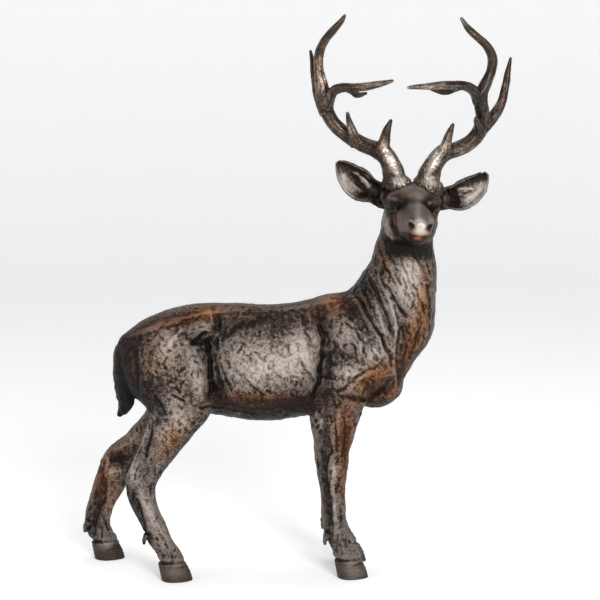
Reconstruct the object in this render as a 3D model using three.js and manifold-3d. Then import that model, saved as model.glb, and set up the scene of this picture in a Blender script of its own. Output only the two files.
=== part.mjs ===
// A standing stag. The animal is one casting from nose to hooves, and the two antlers are cast apart
// and seated on its skull.
// Millimetres, +Z up. The body runs along X with the rump at -X, and the stag's right side faces -Y.
// The head is turned to that side, so the muzzle points along -Y.
import * as THREE from "three";
import { mergeVertices } from "three/addons/utils/BufferGeometryUtils.js";
import Module from "manifold-3d";

const wasm = await Module();
wasm.setup();

// Driving sizes.
const HEIGHT = 796; // floor to the highest antler tip
const HOOF_LENGTH = 45; // sole, heel to toe
const HOOF_WIDTH = 31; // sole, across both toes
const HOOF_HEIGHT = 26; // floor to the coronet, where the hair starts
const CLEFT_WIDTH = 2.4; // slot between the two toes
const CLEFT_LENGTH = 21; // how far back from the toe the slot runs
const EAR_WALL = 3; // shell of a cupped ear
const EYE_RADIUS = 8;
const NOSTRIL_RADIUS = 3.2;
const MOUTH_SLOT = 1.6; // height of the cut between the lips
const MOUTH_WIDTH = 60; // past both cheeks
const MOUTH_DEPTH = 11; // how far back from the lips it runs
const FOLD_DEPTH = 4; // grooves cut in the hide
const FOLD_WIDTH = 6;
const SEAM = 0.3; // clearance between an antler and the skull it sits on

// The tables below give the figure's pose and proportions in units of 1/796 of its height.
const UNIT = HEIGHT / 796;

const X = new THREE.Vector3(1, 0, 0);
const Y = new THREE.Vector3(0, 1, 0);
const RIGHT = -1; // the stag's right side, which is -Y
const LEFT = 1;

// A closed geometry as a solid that can be joined and cut.
function solid(geometry) {
  const bare = geometry.clone();
  bare.deleteAttribute("normal");
  bare.deleteAttribute("uv");
  const merged = mergeVertices(bare, 1e-4);
  const triVerts = new Uint32Array(merged.index.array);
  const vertProperties = new Float32Array(merged.attributes.position.array);
  const made = new wasm.Manifold(new wasm.Mesh({ numProp: 3, vertProperties, triVerts }));
  if (made.volume() > 0) return made;
  for (let i = 0; i < triVerts.length; i += 3)
    [triVerts[i + 1], triVerts[i + 2]] = [triVerts[i + 2], triVerts[i + 1]];
  return new wasm.Manifold(new wasm.Mesh({ numProp: 3, vertProperties, triVerts }));
}

function union(solids) {
  return solids.reduce((whole, next) => whole.add(next));
}

function geometryOf(made) {
  const mesh = made.getMesh();
  const geometry = new THREE.BufferGeometry();
  geometry.setAttribute("position", new THREE.BufferAttribute(mesh.vertProperties, 3));
  geometry.setIndex(new THREE.BufferAttribute(mesh.triVerts, 1));
  geometry.computeVertexNormals();
  return geometry;
}

// A closed skin over rings strung along a smooth curve. Each ring is [x, y, z, halfSide, halfDepth]:
// its centre, its half width along `side`, and its half depth across that. `power` 2 is an ellipse and
// more is squarer; `egg` narrows the ring on its +depth half. `grow` is an offset that isn't scaled.
function loft(rings, { side = Y, sides = 12, steps = 1, power = 2, egg = 0, cap = [0.6, 0.6], grow = 0 } = {}) {
  const spine = new THREE.CatmullRomCurve3(
    rings.map(([x, y, z]) => new THREE.Vector3(x, y, z).multiplyScalar(UNIT)), false, "catmullrom");
  const sizes = new THREE.CatmullRomCurve3(
    rings.map((r) => new THREE.Vector3(r[3], r[4], 0).multiplyScalar(UNIT)), false, "catmullrom");
  const count = (rings.length - 1) * steps;
  const positions = [];
  const addRing = (centre, tangent, halfSide, halfDepth) => {
    const across = side.clone().addScaledVector(tangent, -side.dot(tangent)).normalize();
    const depth = tangent.clone().cross(across);
    for (let k = 0; k < sides; k++) {
      const angle = (2 * Math.PI * k) / sides;
      const [c, s] = [Math.cos(angle), Math.sin(angle)];
      const u = Math.sign(c) * Math.abs(c) ** (2 / power) * (1 - egg * s) * halfSide;
      const v = Math.sign(s) * Math.abs(s) ** (2 / power) * halfDepth;
      positions.push(centre.clone().addScaledVector(across, u).addScaledVector(depth, v));
    }
  };
  // Each end closes with a rounded cap, whose height is a share of the end ring's half width.
  const capRings = sides > 8 ? 2 : 1;
  const ends = [0, 1].map((t) => {
    const [centre, tangent] = [spine.getPoint(t), spine.getTangent(t)];
    const size = sizes.getPoint(t);
    const height = cap[t] * Math.min(size.x, size.y);
    return { centre, tangent, size, height, out: t === 0 ? -1 : 1 };
  });
  const addCapRing = (end, step) => {
    const angle = (Math.PI / 2) * (step / (capRings + 1));
    const centre = end.centre.clone().addScaledVector(end.tangent, end.out * end.height * Math.sin(angle));
    addRing(centre, end.tangent, end.size.x * Math.cos(angle) + grow, end.size.y * Math.cos(angle) + grow);
  };
  if (cap[0] > 0) for (let step = capRings; step > 0; step--) addCapRing(ends[0], step);
  for (let i = 0; i <= count; i++) {
    const t = i / count;
    const size = sizes.getPoint(t);
    addRing(spine.getPoint(t), spine.getTangent(t), size.x + grow, size.y + grow);
  }
  if (cap[1] > 0) for (let step = 1; step <= capRings; step++) addCapRing(ends[1], step);
  const ringCount = positions.length / sides;
  ends.forEach((end) => positions.push(
    end.centre.clone().addScaledVector(end.tangent, end.out * (end.height + grow))));
  const faces = [];
  for (let i = 0; i + 1 < ringCount; i++)
    for (let k = 0; k < sides; k++) {
      const [a, b] = [i * sides + k, i * sides + ((k + 1) % sides)];
      faces.push(a, b, b + sides, a, b + sides, a + sides);
    }
  const [first, last] = [positions.length - 2, positions.length - 1];
  for (let k = 0; k < sides; k++) {
    const next = (k + 1) % sides;
    faces.push(first, next, k, last, last - 1 - sides + k, last - 1 - sides + next);
  }
  const geometry = new THREE.BufferGeometry().setFromPoints(positions);
  geometry.setIndex(faces);
  return solid(geometry);
}

// An ellipsoid of muscle or bone: centre and half sizes, leaned by `lean` degrees about Y.
function mass([x, y, z], [a, b, c], lean = 0, segments = 10) {
  const ball = new THREE.Object3D();
  ball.position.set(x, y, z).multiplyScalar(UNIT);
  ball.scale.set(a, b, c).multiplyScalar(UNIT);
  ball.rotation.y = THREE.MathUtils.degToRad(lean);
  ball.updateMatrix();
  return solid(new THREE.SphereGeometry(1, segments, Math.round(segments * 0.6)).applyMatrix4(ball.matrix));
}

// The same rings on the stag's other side, moved by `shift`.
function mirrored(rings, shift = 0) {
  return rings.map(([x, y, z, halfSide, halfDepth]) => [x + shift, -y, z, halfSide, halfDepth]);
}

// Trunk: vertical rings from rump to chest. The back is narrower than the belly.
const TRUNK = [
  [-251, 0, 301, 18, 30],
  [-239, 0, 303, 34, 46.5],
  [-218, 0, 305, 45, 60],
  [-189, 0, 309, 50, 69],
  [-153, 0, 313, 50, 76],
  [-126, 0, 313, 45, 79],
  [-104, 0, 311, 52, 81],
  [-82, 0, 309, 58, 82.5],
  [-47, 0, 306, 62, 83],
  [-11, 0, 309.5, 60, 81.5],
  [14, 0, 313, 55, 81.5],
  [32, 0, 317, 46, 82],
  [60, 0, 320, 46, 87],
  [88, 0, 316, 44, 83],
  [116, 0, 306, 36, 60],
  [133, 0, 296, 23, 39],
];

// Neck: from the brisket up into the skull. Depth runs fore and aft here.
const NECK = [
  [119, 0, 260, 24, 24],
  [115, 0, 295, 38, 43],
  [118, 0, 335, 47, 60],
  [129, 0, 374, 50, 66],
  [142.5, 0, 418, 47, 54.5],
  [147.5, 0, 440, 45, 49],
  [149, 0, 463, 43, 43],
  [152, 0, 486, 40, 38],
  [154, 3, 508, 34, 35],
  [155, 5, 527, 25, 28],
  [155, 6, 541, 14, 18],
];

// Head, in its own frame: X to the stag's right, Y forward along the muzzle, Z up, poll at the origin.
const HEAD_AT = [154, 12, 527];
const HEAD_TURN = 184; // degrees about Z; 180 would look straight to the stag's right
const HEAD_NOD = -12;
const HEAD_TILT = -5;
const SKULL = [
  [0, 0, 8, 24, 22],
  [0, 14, 6, 33, 36.5],
  [0, 28, 0, 36, 44],
  [0, 42, -4, 37.5, 41.5],
  [0, 55, -3.5, 33.5, 35],
  [0, 73, 0.5, 25.5, 26.5],
  [0, 91, 1.5, 20, 22.5],
  [0, 107, 2.5, 17, 18.5],
  [0, 117, 4, 15.5, 14.5],
  [0, 123, 4.5, 12, 9],
];
const CROWN = [[23, 21, 21], [20, 18, 19]]; // the broad bone under each antler
const CHIN = [[0, 108, -10], [11, 13, 8.5]];
const EYE = [30.5, 51, 17];
const BROW = [27, 49, 26];
const NOSTRIL = [11, 124, 12];
const MOUTH = [0, 126, -3];

function headMatrix() {
  const frame = new THREE.Object3D();
  frame.position.set(...HEAD_AT).multiplyScalar(UNIT);
  frame.rotation.order = "ZXY";
  frame.rotation.set(...[HEAD_NOD, HEAD_TILT, HEAD_TURN].map(THREE.MathUtils.degToRad));
  frame.updateMatrix();
  return frame.matrix;
}
const toBody = headMatrix();

function inHead(made) {
  return made.transform(toBody.toArray());
}

function skull(grow = 0) {
  return inHead(loft(SKULL, { side: X, sides: 16, power: 2.2, egg: -0.08, cap: [0, 0.5], grow }));
}

// A point of the head's frame, in the body's, on side `s` of the face.
function headPoint([x, y, z], s) {
  const p = new THREE.Vector3(s * x, y, z).multiplyScalar(UNIT).applyMatrix4(toBody).divideScalar(UNIT);
  return [p.x, p.y, p.z];
}

function eye(s) {
  return mass(headPoint(EYE, s), Array(3).fill(EYE_RADIUS / UNIT));
}

function brow(s, grow = 0) {
  const clear = grow / UNIT;
  return mass(headPoint(BROW, s), [9 + clear, 12 + clear, 7 + clear]);
}

function pedicle(s, grow = 0) {
  return mass(headPoint(CROWN[0], s), CROWN[1].map((radius) => radius + grow / UNIT), 0, 8);
}

function faceCuts() {
  const slot = new THREE.BoxGeometry(MOUTH_WIDTH, MOUTH_DEPTH * 2, MOUTH_SLOT);
  slot.translate(...MOUTH.map((size) => size * UNIT)).applyMatrix4(toBody);
  const radius = NOSTRIL_RADIUS / UNIT;
  const nostril = (s) => mass(headPoint(NOSTRIL, s), [radius, 1.4 * radius, radius], 0, 8);
  return [solid(slot), nostril(1), nostril(-1)];
}

// Ears: a leaf of rings from root to tip, hollowed from the front, -Y, to leave a wall.
const EAR_RIGHT = [
  [142, 12, 530, 8, 12],
  [121, 8, 542, 11, 17.5],
  [106, 4, 549, 13, 16.5],
  [92, 1, 555.5, 13, 21],
  [80, 1, 565, 11.5, 22],
  [67.5, 3, 577, 8, 16.5],
  [60, 5, 585, 5, 10.5],
  [55.5, 6, 589.5, 2.5, 5],
];
const EAR_LEFT = [
  [174, 12, 530, 8, 12],
  [198, 8, 537, 11, 15.5],
  [212, 4, 540.5, 13, 16.5],
  [225.5, 1, 542.5, 13, 20.5],
  [238.5, 1, 549.5, 11.5, 20.5],
  [250.5, 3, 559, 8, 17],
  [260, 5, 569.5, 5, 10],
  [264.5, 6, 573.5, 2.5, 5],
];

function earShell(rings, grow = 0) {
  return loft(rings, { sides: 10, cap: [0, 0.8], grow });
}

function ear(rings) {
  const wall = EAR_WALL / UNIT;
  const cup = rings.slice(2).map(([x, y, z, halfSide, halfDepth]) =>
    [x, y - halfSide * 0.75, z, halfSide, Math.max(halfDepth - wall, 0.5)]);
  return earShell(rings).subtract(loft(cup, { sides: 10, cap: [0.8, 0] }));
}

// What the antlers sit on, enlarged by `grow`.
function crown(grow) {
  const bones = [1, -1].flatMap((s) => [brow(s, grow), pedicle(s, grow)]);
  return union([skull(grow), ...bones, earShell(EAR_RIGHT, grow), earShell(EAR_LEFT, grow)]);
}

// Legs: rings down the limb to just above the hoof. Half side is across the body, depth fore and aft.
const FORE_LEG = [
  [60, -31, 286, 22, 44],
  [56, -33, 258, 22, 38],
  [51, -34, 230, 19.5, 34],
  [50.2, -35, 206, 17, 29],
  [48.5, -36, 183, 15, 24],
  [48.6, -36, 152, 14.3, 21.5],
  [49.6, -36, 125, 12.3, 17.2],
  [51.5, -36, 93, 11.8, 16.5],
  [54, -36, 69, 13, 17.3],
  [63, -36, 46, 12, 15],
  [70, -36, 31, 13.3, 17],
  [74, -36, 20, 13.5, 18],
];
const HIND_LEG_RIGHT = [
  [-172, -28, 334, 26, 48],
  [-171, -31, 305, 28, 51],
  [-170, -36, 258, 25, 54],
  [-177, -41, 226, 20, 34.5],
  [-195, -45, 192, 16.5, 25.5],
  [-212, -47, 164, 14, 22],
  [-221, -48, 143, 13, 21.5],
  [-220.5, -48, 121, 12.5, 19.5],
  [-213, -48, 99, 12, 16.8],
  [-205, -48, 80, 12, 16.7],
  [-199, -48, 66, 12.5, 17],
  [-189, -48, 48, 11.5, 14.5],
  [-181, -48, 33, 12.5, 16.5],
  [-178, -48, 20, 13.5, 18],
];
const HIND_LEG_LEFT = [
  [-176, 28, 331, 26, 46],
  [-177, 31, 296, 27, 46],
  [-182, 35, 250, 25, 35],
  [-201, 40, 212, 20, 25.5],
  [-234, 45, 178, 16.5, 22],
  [-262, 47, 151, 14.5, 24],
  [-273, 48, 126, 13.5, 24],
  [-284, 48, 103, 12.5, 21.3],
  [-292, 48, 83, 12, 19.3],
  [-297, 48, 65, 12.3, 18.5],
  [-297, 48, 50, 12.5, 18],
  [-291, 48, 36, 12, 16.5],
  [-286, 48, 25, 13, 18],
  [-284, 48, 18, 13.5, 18.5],
];

// Hoof: two toes with a slot between them from the front, flat below. `at` is the sole's middle.
function hoof([x, y]) {
  const outline = [];
  const levels = [[0, 0, 1], [0.5, -0.07, 0.97], [1, -0.17, 0.86]]; // share of height, slide back, size
  const sides = 18;
  levels.forEach(([up, slide, size]) => {
    for (let k = 0; k < sides; k++) {
      const angle = (2 * Math.PI * k) / sides;
      const along = (Math.cos(angle) * HOOF_LENGTH * size) / 2 + slide * HOOF_LENGTH;
      const across = (Math.sin(angle) * (1 - 0.22 * Math.cos(angle)) * HOOF_WIDTH * size) / 2;
      outline.push(new THREE.Vector3(x * UNIT + along, y * UNIT + across, up * HOOF_HEIGHT));
    }
  });
  const faces = [];
  for (let i = 0; i + 1 < levels.length; i++)
    for (let k = 0; k < sides; k++) {
      const [a, b] = [i * sides + k, i * sides + ((k + 1) % sides)];
      faces.push(a, b, b + sides, a, b + sides, a + sides);
    }
  const top = (levels.length - 1) * sides;
  for (let k = 1; k + 1 < sides; k++) faces.push(0, k + 1, k, top, top + k, top + k + 1);
  const geometry = new THREE.BufferGeometry().setFromPoints(outline);
  geometry.setIndex(faces);
  const slot = new THREE.BoxGeometry(CLEFT_LENGTH * 2, CLEFT_WIDTH, HOOF_HEIGHT * 1.5);
  slot.translate(x * UNIT + HOOF_LENGTH / 2, y * UNIT, HOOF_HEIGHT * 0.1);
  return solid(geometry).subtract(solid(slot));
}

// Dewclaws: two blunt points behind each fetlock.
function dewclaws([x, y, z]) {
  return [-1, 1].map((s) =>
    loft([[x, y + s * 7, z, 6, 6], [x - 5, y + s * 8, z - 7, 5, 4], [x - 6, y + s * 9, z - 14, 3, 2.5]],
      { sides: 5, cap: [0, 0.8] }));
}

const TAIL = [
  [-238, 0, 336, 12, 12],
  [-249, 0, 318, 16, 13],
  [-250, 0, 296, 18, 14],
  [-249, 0, 270, 16, 13],
  [-246, 0, 250, 13, 12],
  [-250, 0, 238, 10, 9],
  [-257, 0, 230, 4, 5],
];

// Shoulder and haunch masses stand proud of the trunk, and the hollows beside them read as grooves.
function muscles(s) {
  return [
    mass([70, s * 28, 341], [31, 25, 53], -24),
    mass([96, s * 31, 307], [42, 24, 34], 30),
    mass([64, s * 32, 291], [36, 23, 42], 0),
    mass([-176, s * 30, 325], [48, 27, 46], 15),
    mass([-140, s * 30, 357], [36, 17, 15], 12, 8),
  ];
}

// Folds of the hide, drawn on the side view as [x, z] paths. The fine ones are on the right flank only.
const MAIN_FOLDS = [
  [[40, 386], [33, 352], [35, 300], [29, 258]], // behind the shoulder
  [[-121, 350], [-124, 306], [-121, 262]], // before the haunch
  [[66, 396], [100, 350], [130, 304]], // where the neck meets the shoulder
];
const FINE_FOLDS = [
  [[94, 414], [112, 376], [132, 340]], // down the neck
  [[108, 446], [130, 404], [156, 352]],
  [[58, 372], [80, 352], [91, 318]], // across the shoulder
  [[-34, 338], [-18, 306], [-4, 282]], // between the ribs
];

// Cutters that follow the paths across the skin of one flank. Each is a wedge that stands clear of the
// skin on the outside, so that it stays open where the skin swells between two points of its path.
function folds(paths, s, skin) {
  const reach = (3 * FOLD_DEPTH) / UNIT;
  const halfWidth = (3 * FOLD_WIDTH) / 2 / UNIT;
  const proud = (2 * FOLD_DEPTH) / UNIT;
  const ray = new THREE.Raycaster();
  const outside = (x, z) => {
    ray.set(new THREE.Vector3(x * UNIT, s * HEIGHT, z * UNIT), new THREE.Vector3(0, -s, 0));
    return ray.intersectObject(skin)[0].point.y / UNIT + s * proud;
  };
  return paths.map((path) => {
    const line = new THREE.CatmullRomCurve3(path.map(([x, z]) => new THREE.Vector3(x, 0, z)));
    const last = path.length + 1;
    const points = line.getPoints(last);
    return loft(points.map(({ x, z }, i) => {
      const taper = i === 0 || i === last ? 0.5 : 1;
      return [x, outside(x, z), z, reach * (2 + taper) / 3, halfWidth * taper];
    }), { sides: 4, cap: [0, 0] });
  });
}

// Antlers: round tubes along [x, y, z, radius].
const ANTLER_RIGHT = {
  beam: [[140, -16, 544, 17], [137, -14, 559, 20.5], [134, -12, 570, 17], [130, -8, 586, 13.8],
    [122, -4, 600, 12.8], [109, 2, 608, 11.8], [91, 8, 615, 10.8], [70, 14, 626.5, 10.3], [51.5, 16, 642, 10.1],
    [41, 12, 660, 10.1], [36, 5, 679, 10.4], [31.5, 2, 701, 9], [28, 2, 723, 6.7], [30, 0, 743, 6.5],
    [37.5, -3, 759, 6], [49.5, -8, 773, 5], [59.5, -12, 784, 3.8], [64, -14, 791.5, 2]],
  front: [[40, 6, 671, 9], [48, -8, 687.5, 7.2], [59, -24, 693.5, 6.4], [75, -42, 694.5, 6.1], [94, -58, 696.5, 5.5],
    [112, -70, 700, 4.2], [126, -78, 704, 2]],
  underside: [[71, -40, 692, 4.5], [81, -28, 684.5, 4.3], [94, -14, 686.5, 2]],
  brow: [[115, -2, 603, 10], [120, -8, 621, 8], [123, -12, 635, 5.8], [128, -14, 648.5, 2.6]],
  second: [[83, 8, 615, 8], [75, -2, 635, 6.2], [70.5, -7, 648, 4.5], [68.5, -10, 659, 2.4]],
  outer: [[38, 12, 659, 7.5], [30, 12, 677, 7], [25.5, 18, 693, 6], [22.5, 25, 711, 4.8], [20.5, 30, 727, 3.6],
    [17.5, 34, 744, 2]],
};
const ANTLER_LEFT = {
  beam: [[179, -16, 540, 17], [181, -14, 556, 21], [181, -12, 567, 18], [186, -8, 582, 14],
    [195, -3, 596, 12.8], [206, 3, 604, 12], [222, 8, 608, 11], [241.5, 14, 618, 10.8], [255, 14, 635, 10.7],
    [258, 10, 653, 10.2], [254.5, 4, 672, 9.8], [255, 1, 687, 9], [260.5, 0, 701, 7.8], [267, 0, 717, 6.9],
    [268, -2, 735, 6.5], [260, -5, 750, 6.1], [246.5, -9, 762, 5.4], [233, -13, 774, 4.4], [223, -16, 787.5, 2.2]],
  front: [[251, 4, 677, 9], [243, -8, 689, 7.5], [230, -22, 696, 6.4], [210, -40, 697.5, 6.3],
    [189, -56, 697, 5.4], [166, -68, 696, 4], [147, -76, 695, 2]],
  underside: [[216, -36, 694, 4.5], [200, -24, 688, 4.3], [184, -10, 691, 2]],
  brow: [[201, -1, 600, 9.5], [206, -8, 618, 7], [210, -11, 632, 5], [214, -13, 643, 2.6]],
  second: [[254, 10, 636, 8], [248, -6, 646, 5], [245, -16, 653, 2.4]],
  outer: [[261, 12, 640, 9], [275, 20, 655, 8], [285.5, 26, 673, 6.6], [291.5, 30, 696, 5.4],
    [294.5, 32, 715, 4.2], [298.5, 34, 734, 2]],
};

function antler(tubes) {
  const parts = Object.entries(tubes).map(([name, points]) =>
    loft(points.map(([x, y, z, r]) => [x, y, z, r, r]), { sides: name === "beam" ? 9 : 6, cap: [0, 0.9] }));
  return union(parts).subtract(crown(SEAM)).decompose().sort((a, b) => b.volume() - a.volume())[0];
}

function body() {
  const foreLegLeft = mirrored(FORE_LEG, -2);
  const legs = [FORE_LEG, foreLegLeft, HIND_LEG_RIGHT, HIND_LEG_LEFT];
  const soles = [[79, -36], [79, 36], [-172, -48], [-280, 48]];
  const fetlocks = [[44, -36, 66], [42, 36, 66], [-212, -48, 70], [-309, 48, 58]];
  const flesh = union([
    loft(TRUNK, { sides: 18, power: 2.2, egg: 0.12, cap: [0.5, 0.5] }),
    loft(NECK, { sides: 16, power: 2.1, cap: [0, 0.6] }),
    skull(),
    brow(1),
    brow(-1),
    pedicle(1),
    pedicle(-1),
    mass(headPoint(CHIN[0], 1), CHIN[1], 0, 8),
    eye(1),
    eye(-1),
    ear(EAR_RIGHT),
    ear(EAR_LEFT),
    ...muscles(RIGHT),
    ...muscles(LEFT),
    mass([110, 0, 271], [36.5, 28, 30.5]),
    loft(TAIL, { sides: 8, cap: [0, 0.8] }),
    ...legs.map((rings) => loft(rings, { sides: 10, cap: [0, 0] })),
    ...fetlocks.flatMap(dewclaws),
    ...soles.map(hoof),
  ]);
  const skin = new THREE.Mesh(geometryOf(flesh), new THREE.MeshBasicMaterial({ side: THREE.DoubleSide }));
  const cuts = [
    ...faceCuts(),
    ...folds([...MAIN_FOLDS, ...FINE_FOLDS], RIGHT, skin),
    ...folds(MAIN_FOLDS, LEFT, skin),
  ];
  return cuts.reduce((left, cut) => left.subtract(cut), flesh);
}

const BRONZE = { color: 0x4a3f37, roughness: 0.42, metalness: 0.9 };
const HORN = { color: 0x6b5540, roughness: 0.38, metalness: 0.9 };

function piece(name, made, finish) {
  const mesh = new THREE.Mesh(geometryOf(made), new THREE.MeshStandardMaterial(finish));
  mesh.name = name;
  return mesh;
}

const stag = new THREE.Group();
stag.add(
  piece("stag_body", body(), BRONZE),
  piece("antler_right", antler(ANTLER_RIGHT), HORN),
  piece("antler_left", antler(ANTLER_LEFT), HORN),
);

// The origin is on the floor, below the middle of the whole figure.
const box = new THREE.Box3().setFromObject(stag);
const middle = box.getCenter(new THREE.Vector3());
stag.position.set(-middle.x, -middle.y, -box.min.z);

export default stag;
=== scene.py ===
import math

import bpy
import numpy as np
import openvdb as vdb
from mathutils import Matrix, Vector


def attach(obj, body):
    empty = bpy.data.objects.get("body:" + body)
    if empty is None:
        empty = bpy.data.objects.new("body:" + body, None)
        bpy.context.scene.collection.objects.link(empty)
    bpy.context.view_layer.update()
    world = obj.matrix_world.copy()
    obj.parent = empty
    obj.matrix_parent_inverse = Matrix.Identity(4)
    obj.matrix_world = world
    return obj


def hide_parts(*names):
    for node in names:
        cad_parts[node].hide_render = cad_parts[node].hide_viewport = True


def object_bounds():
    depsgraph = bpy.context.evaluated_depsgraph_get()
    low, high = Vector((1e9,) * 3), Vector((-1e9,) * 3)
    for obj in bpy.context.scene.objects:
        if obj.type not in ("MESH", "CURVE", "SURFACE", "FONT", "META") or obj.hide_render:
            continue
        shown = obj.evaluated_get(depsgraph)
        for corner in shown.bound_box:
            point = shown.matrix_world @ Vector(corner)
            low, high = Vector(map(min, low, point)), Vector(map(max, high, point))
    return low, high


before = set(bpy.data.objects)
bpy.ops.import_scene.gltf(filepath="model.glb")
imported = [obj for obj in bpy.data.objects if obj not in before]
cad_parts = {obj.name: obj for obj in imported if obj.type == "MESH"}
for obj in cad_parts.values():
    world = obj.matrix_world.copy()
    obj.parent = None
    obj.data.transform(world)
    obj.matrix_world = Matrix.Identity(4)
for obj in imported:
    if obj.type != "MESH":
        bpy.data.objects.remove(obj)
cad_low, cad_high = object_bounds()

# The figure is drawn in millimetres with the stag's middle plane at Y = 0 and the floor at Z = 0. This is
# where the drawn origin lies in the row frame, whose own origin is below the middle of the figure's box.
DRAWN_TO_ROW = np.array([8.68, 24.84, 0.0])
MM = 0.001

X = np.array([1.0, 0.0, 0.0])
Y = np.array([0.0, 1.0, 0.0])
RIGHT, LEFT = -1, 1

BODY_VOXEL = 1.15
ANTLER_VOXEL = 0.85
BODY_FACES = 190_000
ANTLER_FACES = 85_000
FAR = 40.0  # distance given to what no form is near
BODY_BAND, ANTLER_BAND = 7.5, 6  # how deep round the skin relief is carved
HEAD_FROM = 478  # height above which the hide's folds stop and the head begins
LEG_TOP = 240  # height below which a far leg has folds and a finish of its own


# Forms as signed distances
def catmull(points, t):
    """A smooth curve through the points, and its direction, at t from 0 to 1."""
    points = np.asarray(points, float)
    padded = np.vstack([2 * points[0] - points[1], points, 2 * points[-1] - points[-2]])
    spans = len(points) - 1
    along = np.clip(np.asarray(t, float) * spans, 0, spans)
    i = np.minimum(along.astype(int), spans - 1)
    w = (along - i)[:, None]
    p0, p1, p2, p3 = padded[i], padded[i + 1], padded[i + 2], padded[i + 3]
    m1, m2 = (p2 - p0) / 2, (p3 - p1) / 2
    c2 = 3 * (p2 - p1) - 2 * m1 - m2
    c3 = 2 * (p1 - p2) + m1 + m2
    return p1 + m1 * w + c2 * w**2 + c3 * w**3, m1 + 2 * c2 * w + 3 * c3 * w**2


def unit(v):
    return v / np.maximum(np.linalg.norm(v, axis=-1, keepdims=True), 1e-9)


def closed_faces(count, sides):
    """Triangles over `count` rings of `sides` points, then one point for each end."""
    i, k = np.meshgrid(np.arange(count - 1), np.arange(sides), indexing="ij")
    a, b = (i * sides + k).ravel(), (i * sides + (k + 1) % sides).ravel()
    k, ends, last = np.arange(sides), count * sides, (count - 1) * sides
    return np.vstack([np.c_[a, b, b + sides], np.c_[a, b + sides, a + sides],
                      np.c_[np.full(sides, ends), (k + 1) % sides, k],
                      np.c_[np.full(sides, ends + 1), last + k, last + (k + 1) % sides]])


def loft(rings, side=Y, power=2.0, egg=0.0, cap=(0.6, 0.6), sides=40, steps=6):
    """Points and triangles of a closed skin over rings [x, y, z, halfSide, halfDepth]."""
    rings = np.asarray(rings, float)
    t = np.linspace(0, 1, (len(rings) - 1) * steps + 1)
    centre, tangent = catmull(rings[:, :3], t)
    size, _ = catmull(rings[:, 3:], t)
    tangent = unit(tangent)
    rows = [(c, d, *s) for c, d, s in zip(centre, tangent, size)]
    for end, out in ((0, -1), (1, 1)):
        c, d, a, b = rows[0] if end == 0 else rows[-1]
        height = cap[end] * min(a, b)
        dome = []
        for angle in np.linspace(0, math.pi / 2, 7)[1:]:
            shrink = max(math.cos(angle), 0.02)
            dome.append((c + d * out * height * math.sin(angle), d, a * shrink, b * shrink))
        if cap[end] <= 0:
            dome = [(c, d, a * 0.02, b * 0.02)]
        rows = dome[::-1] + rows if end == 0 else rows + dome
    centre = np.array([r[0] for r in rows])
    tangent = np.array([r[1] for r in rows])
    half_side = np.array([r[2] for r in rows])
    half_depth = np.array([r[3] for r in rows])
    across = unit(side - tangent * (tangent @ side)[:, None])
    depth = np.cross(tangent, across)
    angle = np.linspace(0, 2 * math.pi, sides, endpoint=False)
    c, s = np.cos(angle), np.sin(angle)
    u = np.sign(c) * np.abs(c) ** (2 / power) * (1 - egg * s)
    v = np.sign(s) * np.abs(s) ** (2 / power)
    skin = (centre[:, None] + across[:, None] * (half_side[:, None] * u)[..., None]
            + depth[:, None] * (half_depth[:, None] * v)[..., None])
    points = np.vstack([skin.reshape(-1, 3), centre[:1], centre[-1:]])
    return points, closed_faces(len(rows), sides)


def smooth_min(a, b, blend):
    """The nearer of two distances, with a fillet where they meet."""
    if blend <= 0:
        return np.minimum(a, b)
    near = np.maximum(blend - np.abs(a - b), 0) / blend
    return np.minimum(a, b) - near * near * blend / 4


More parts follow.
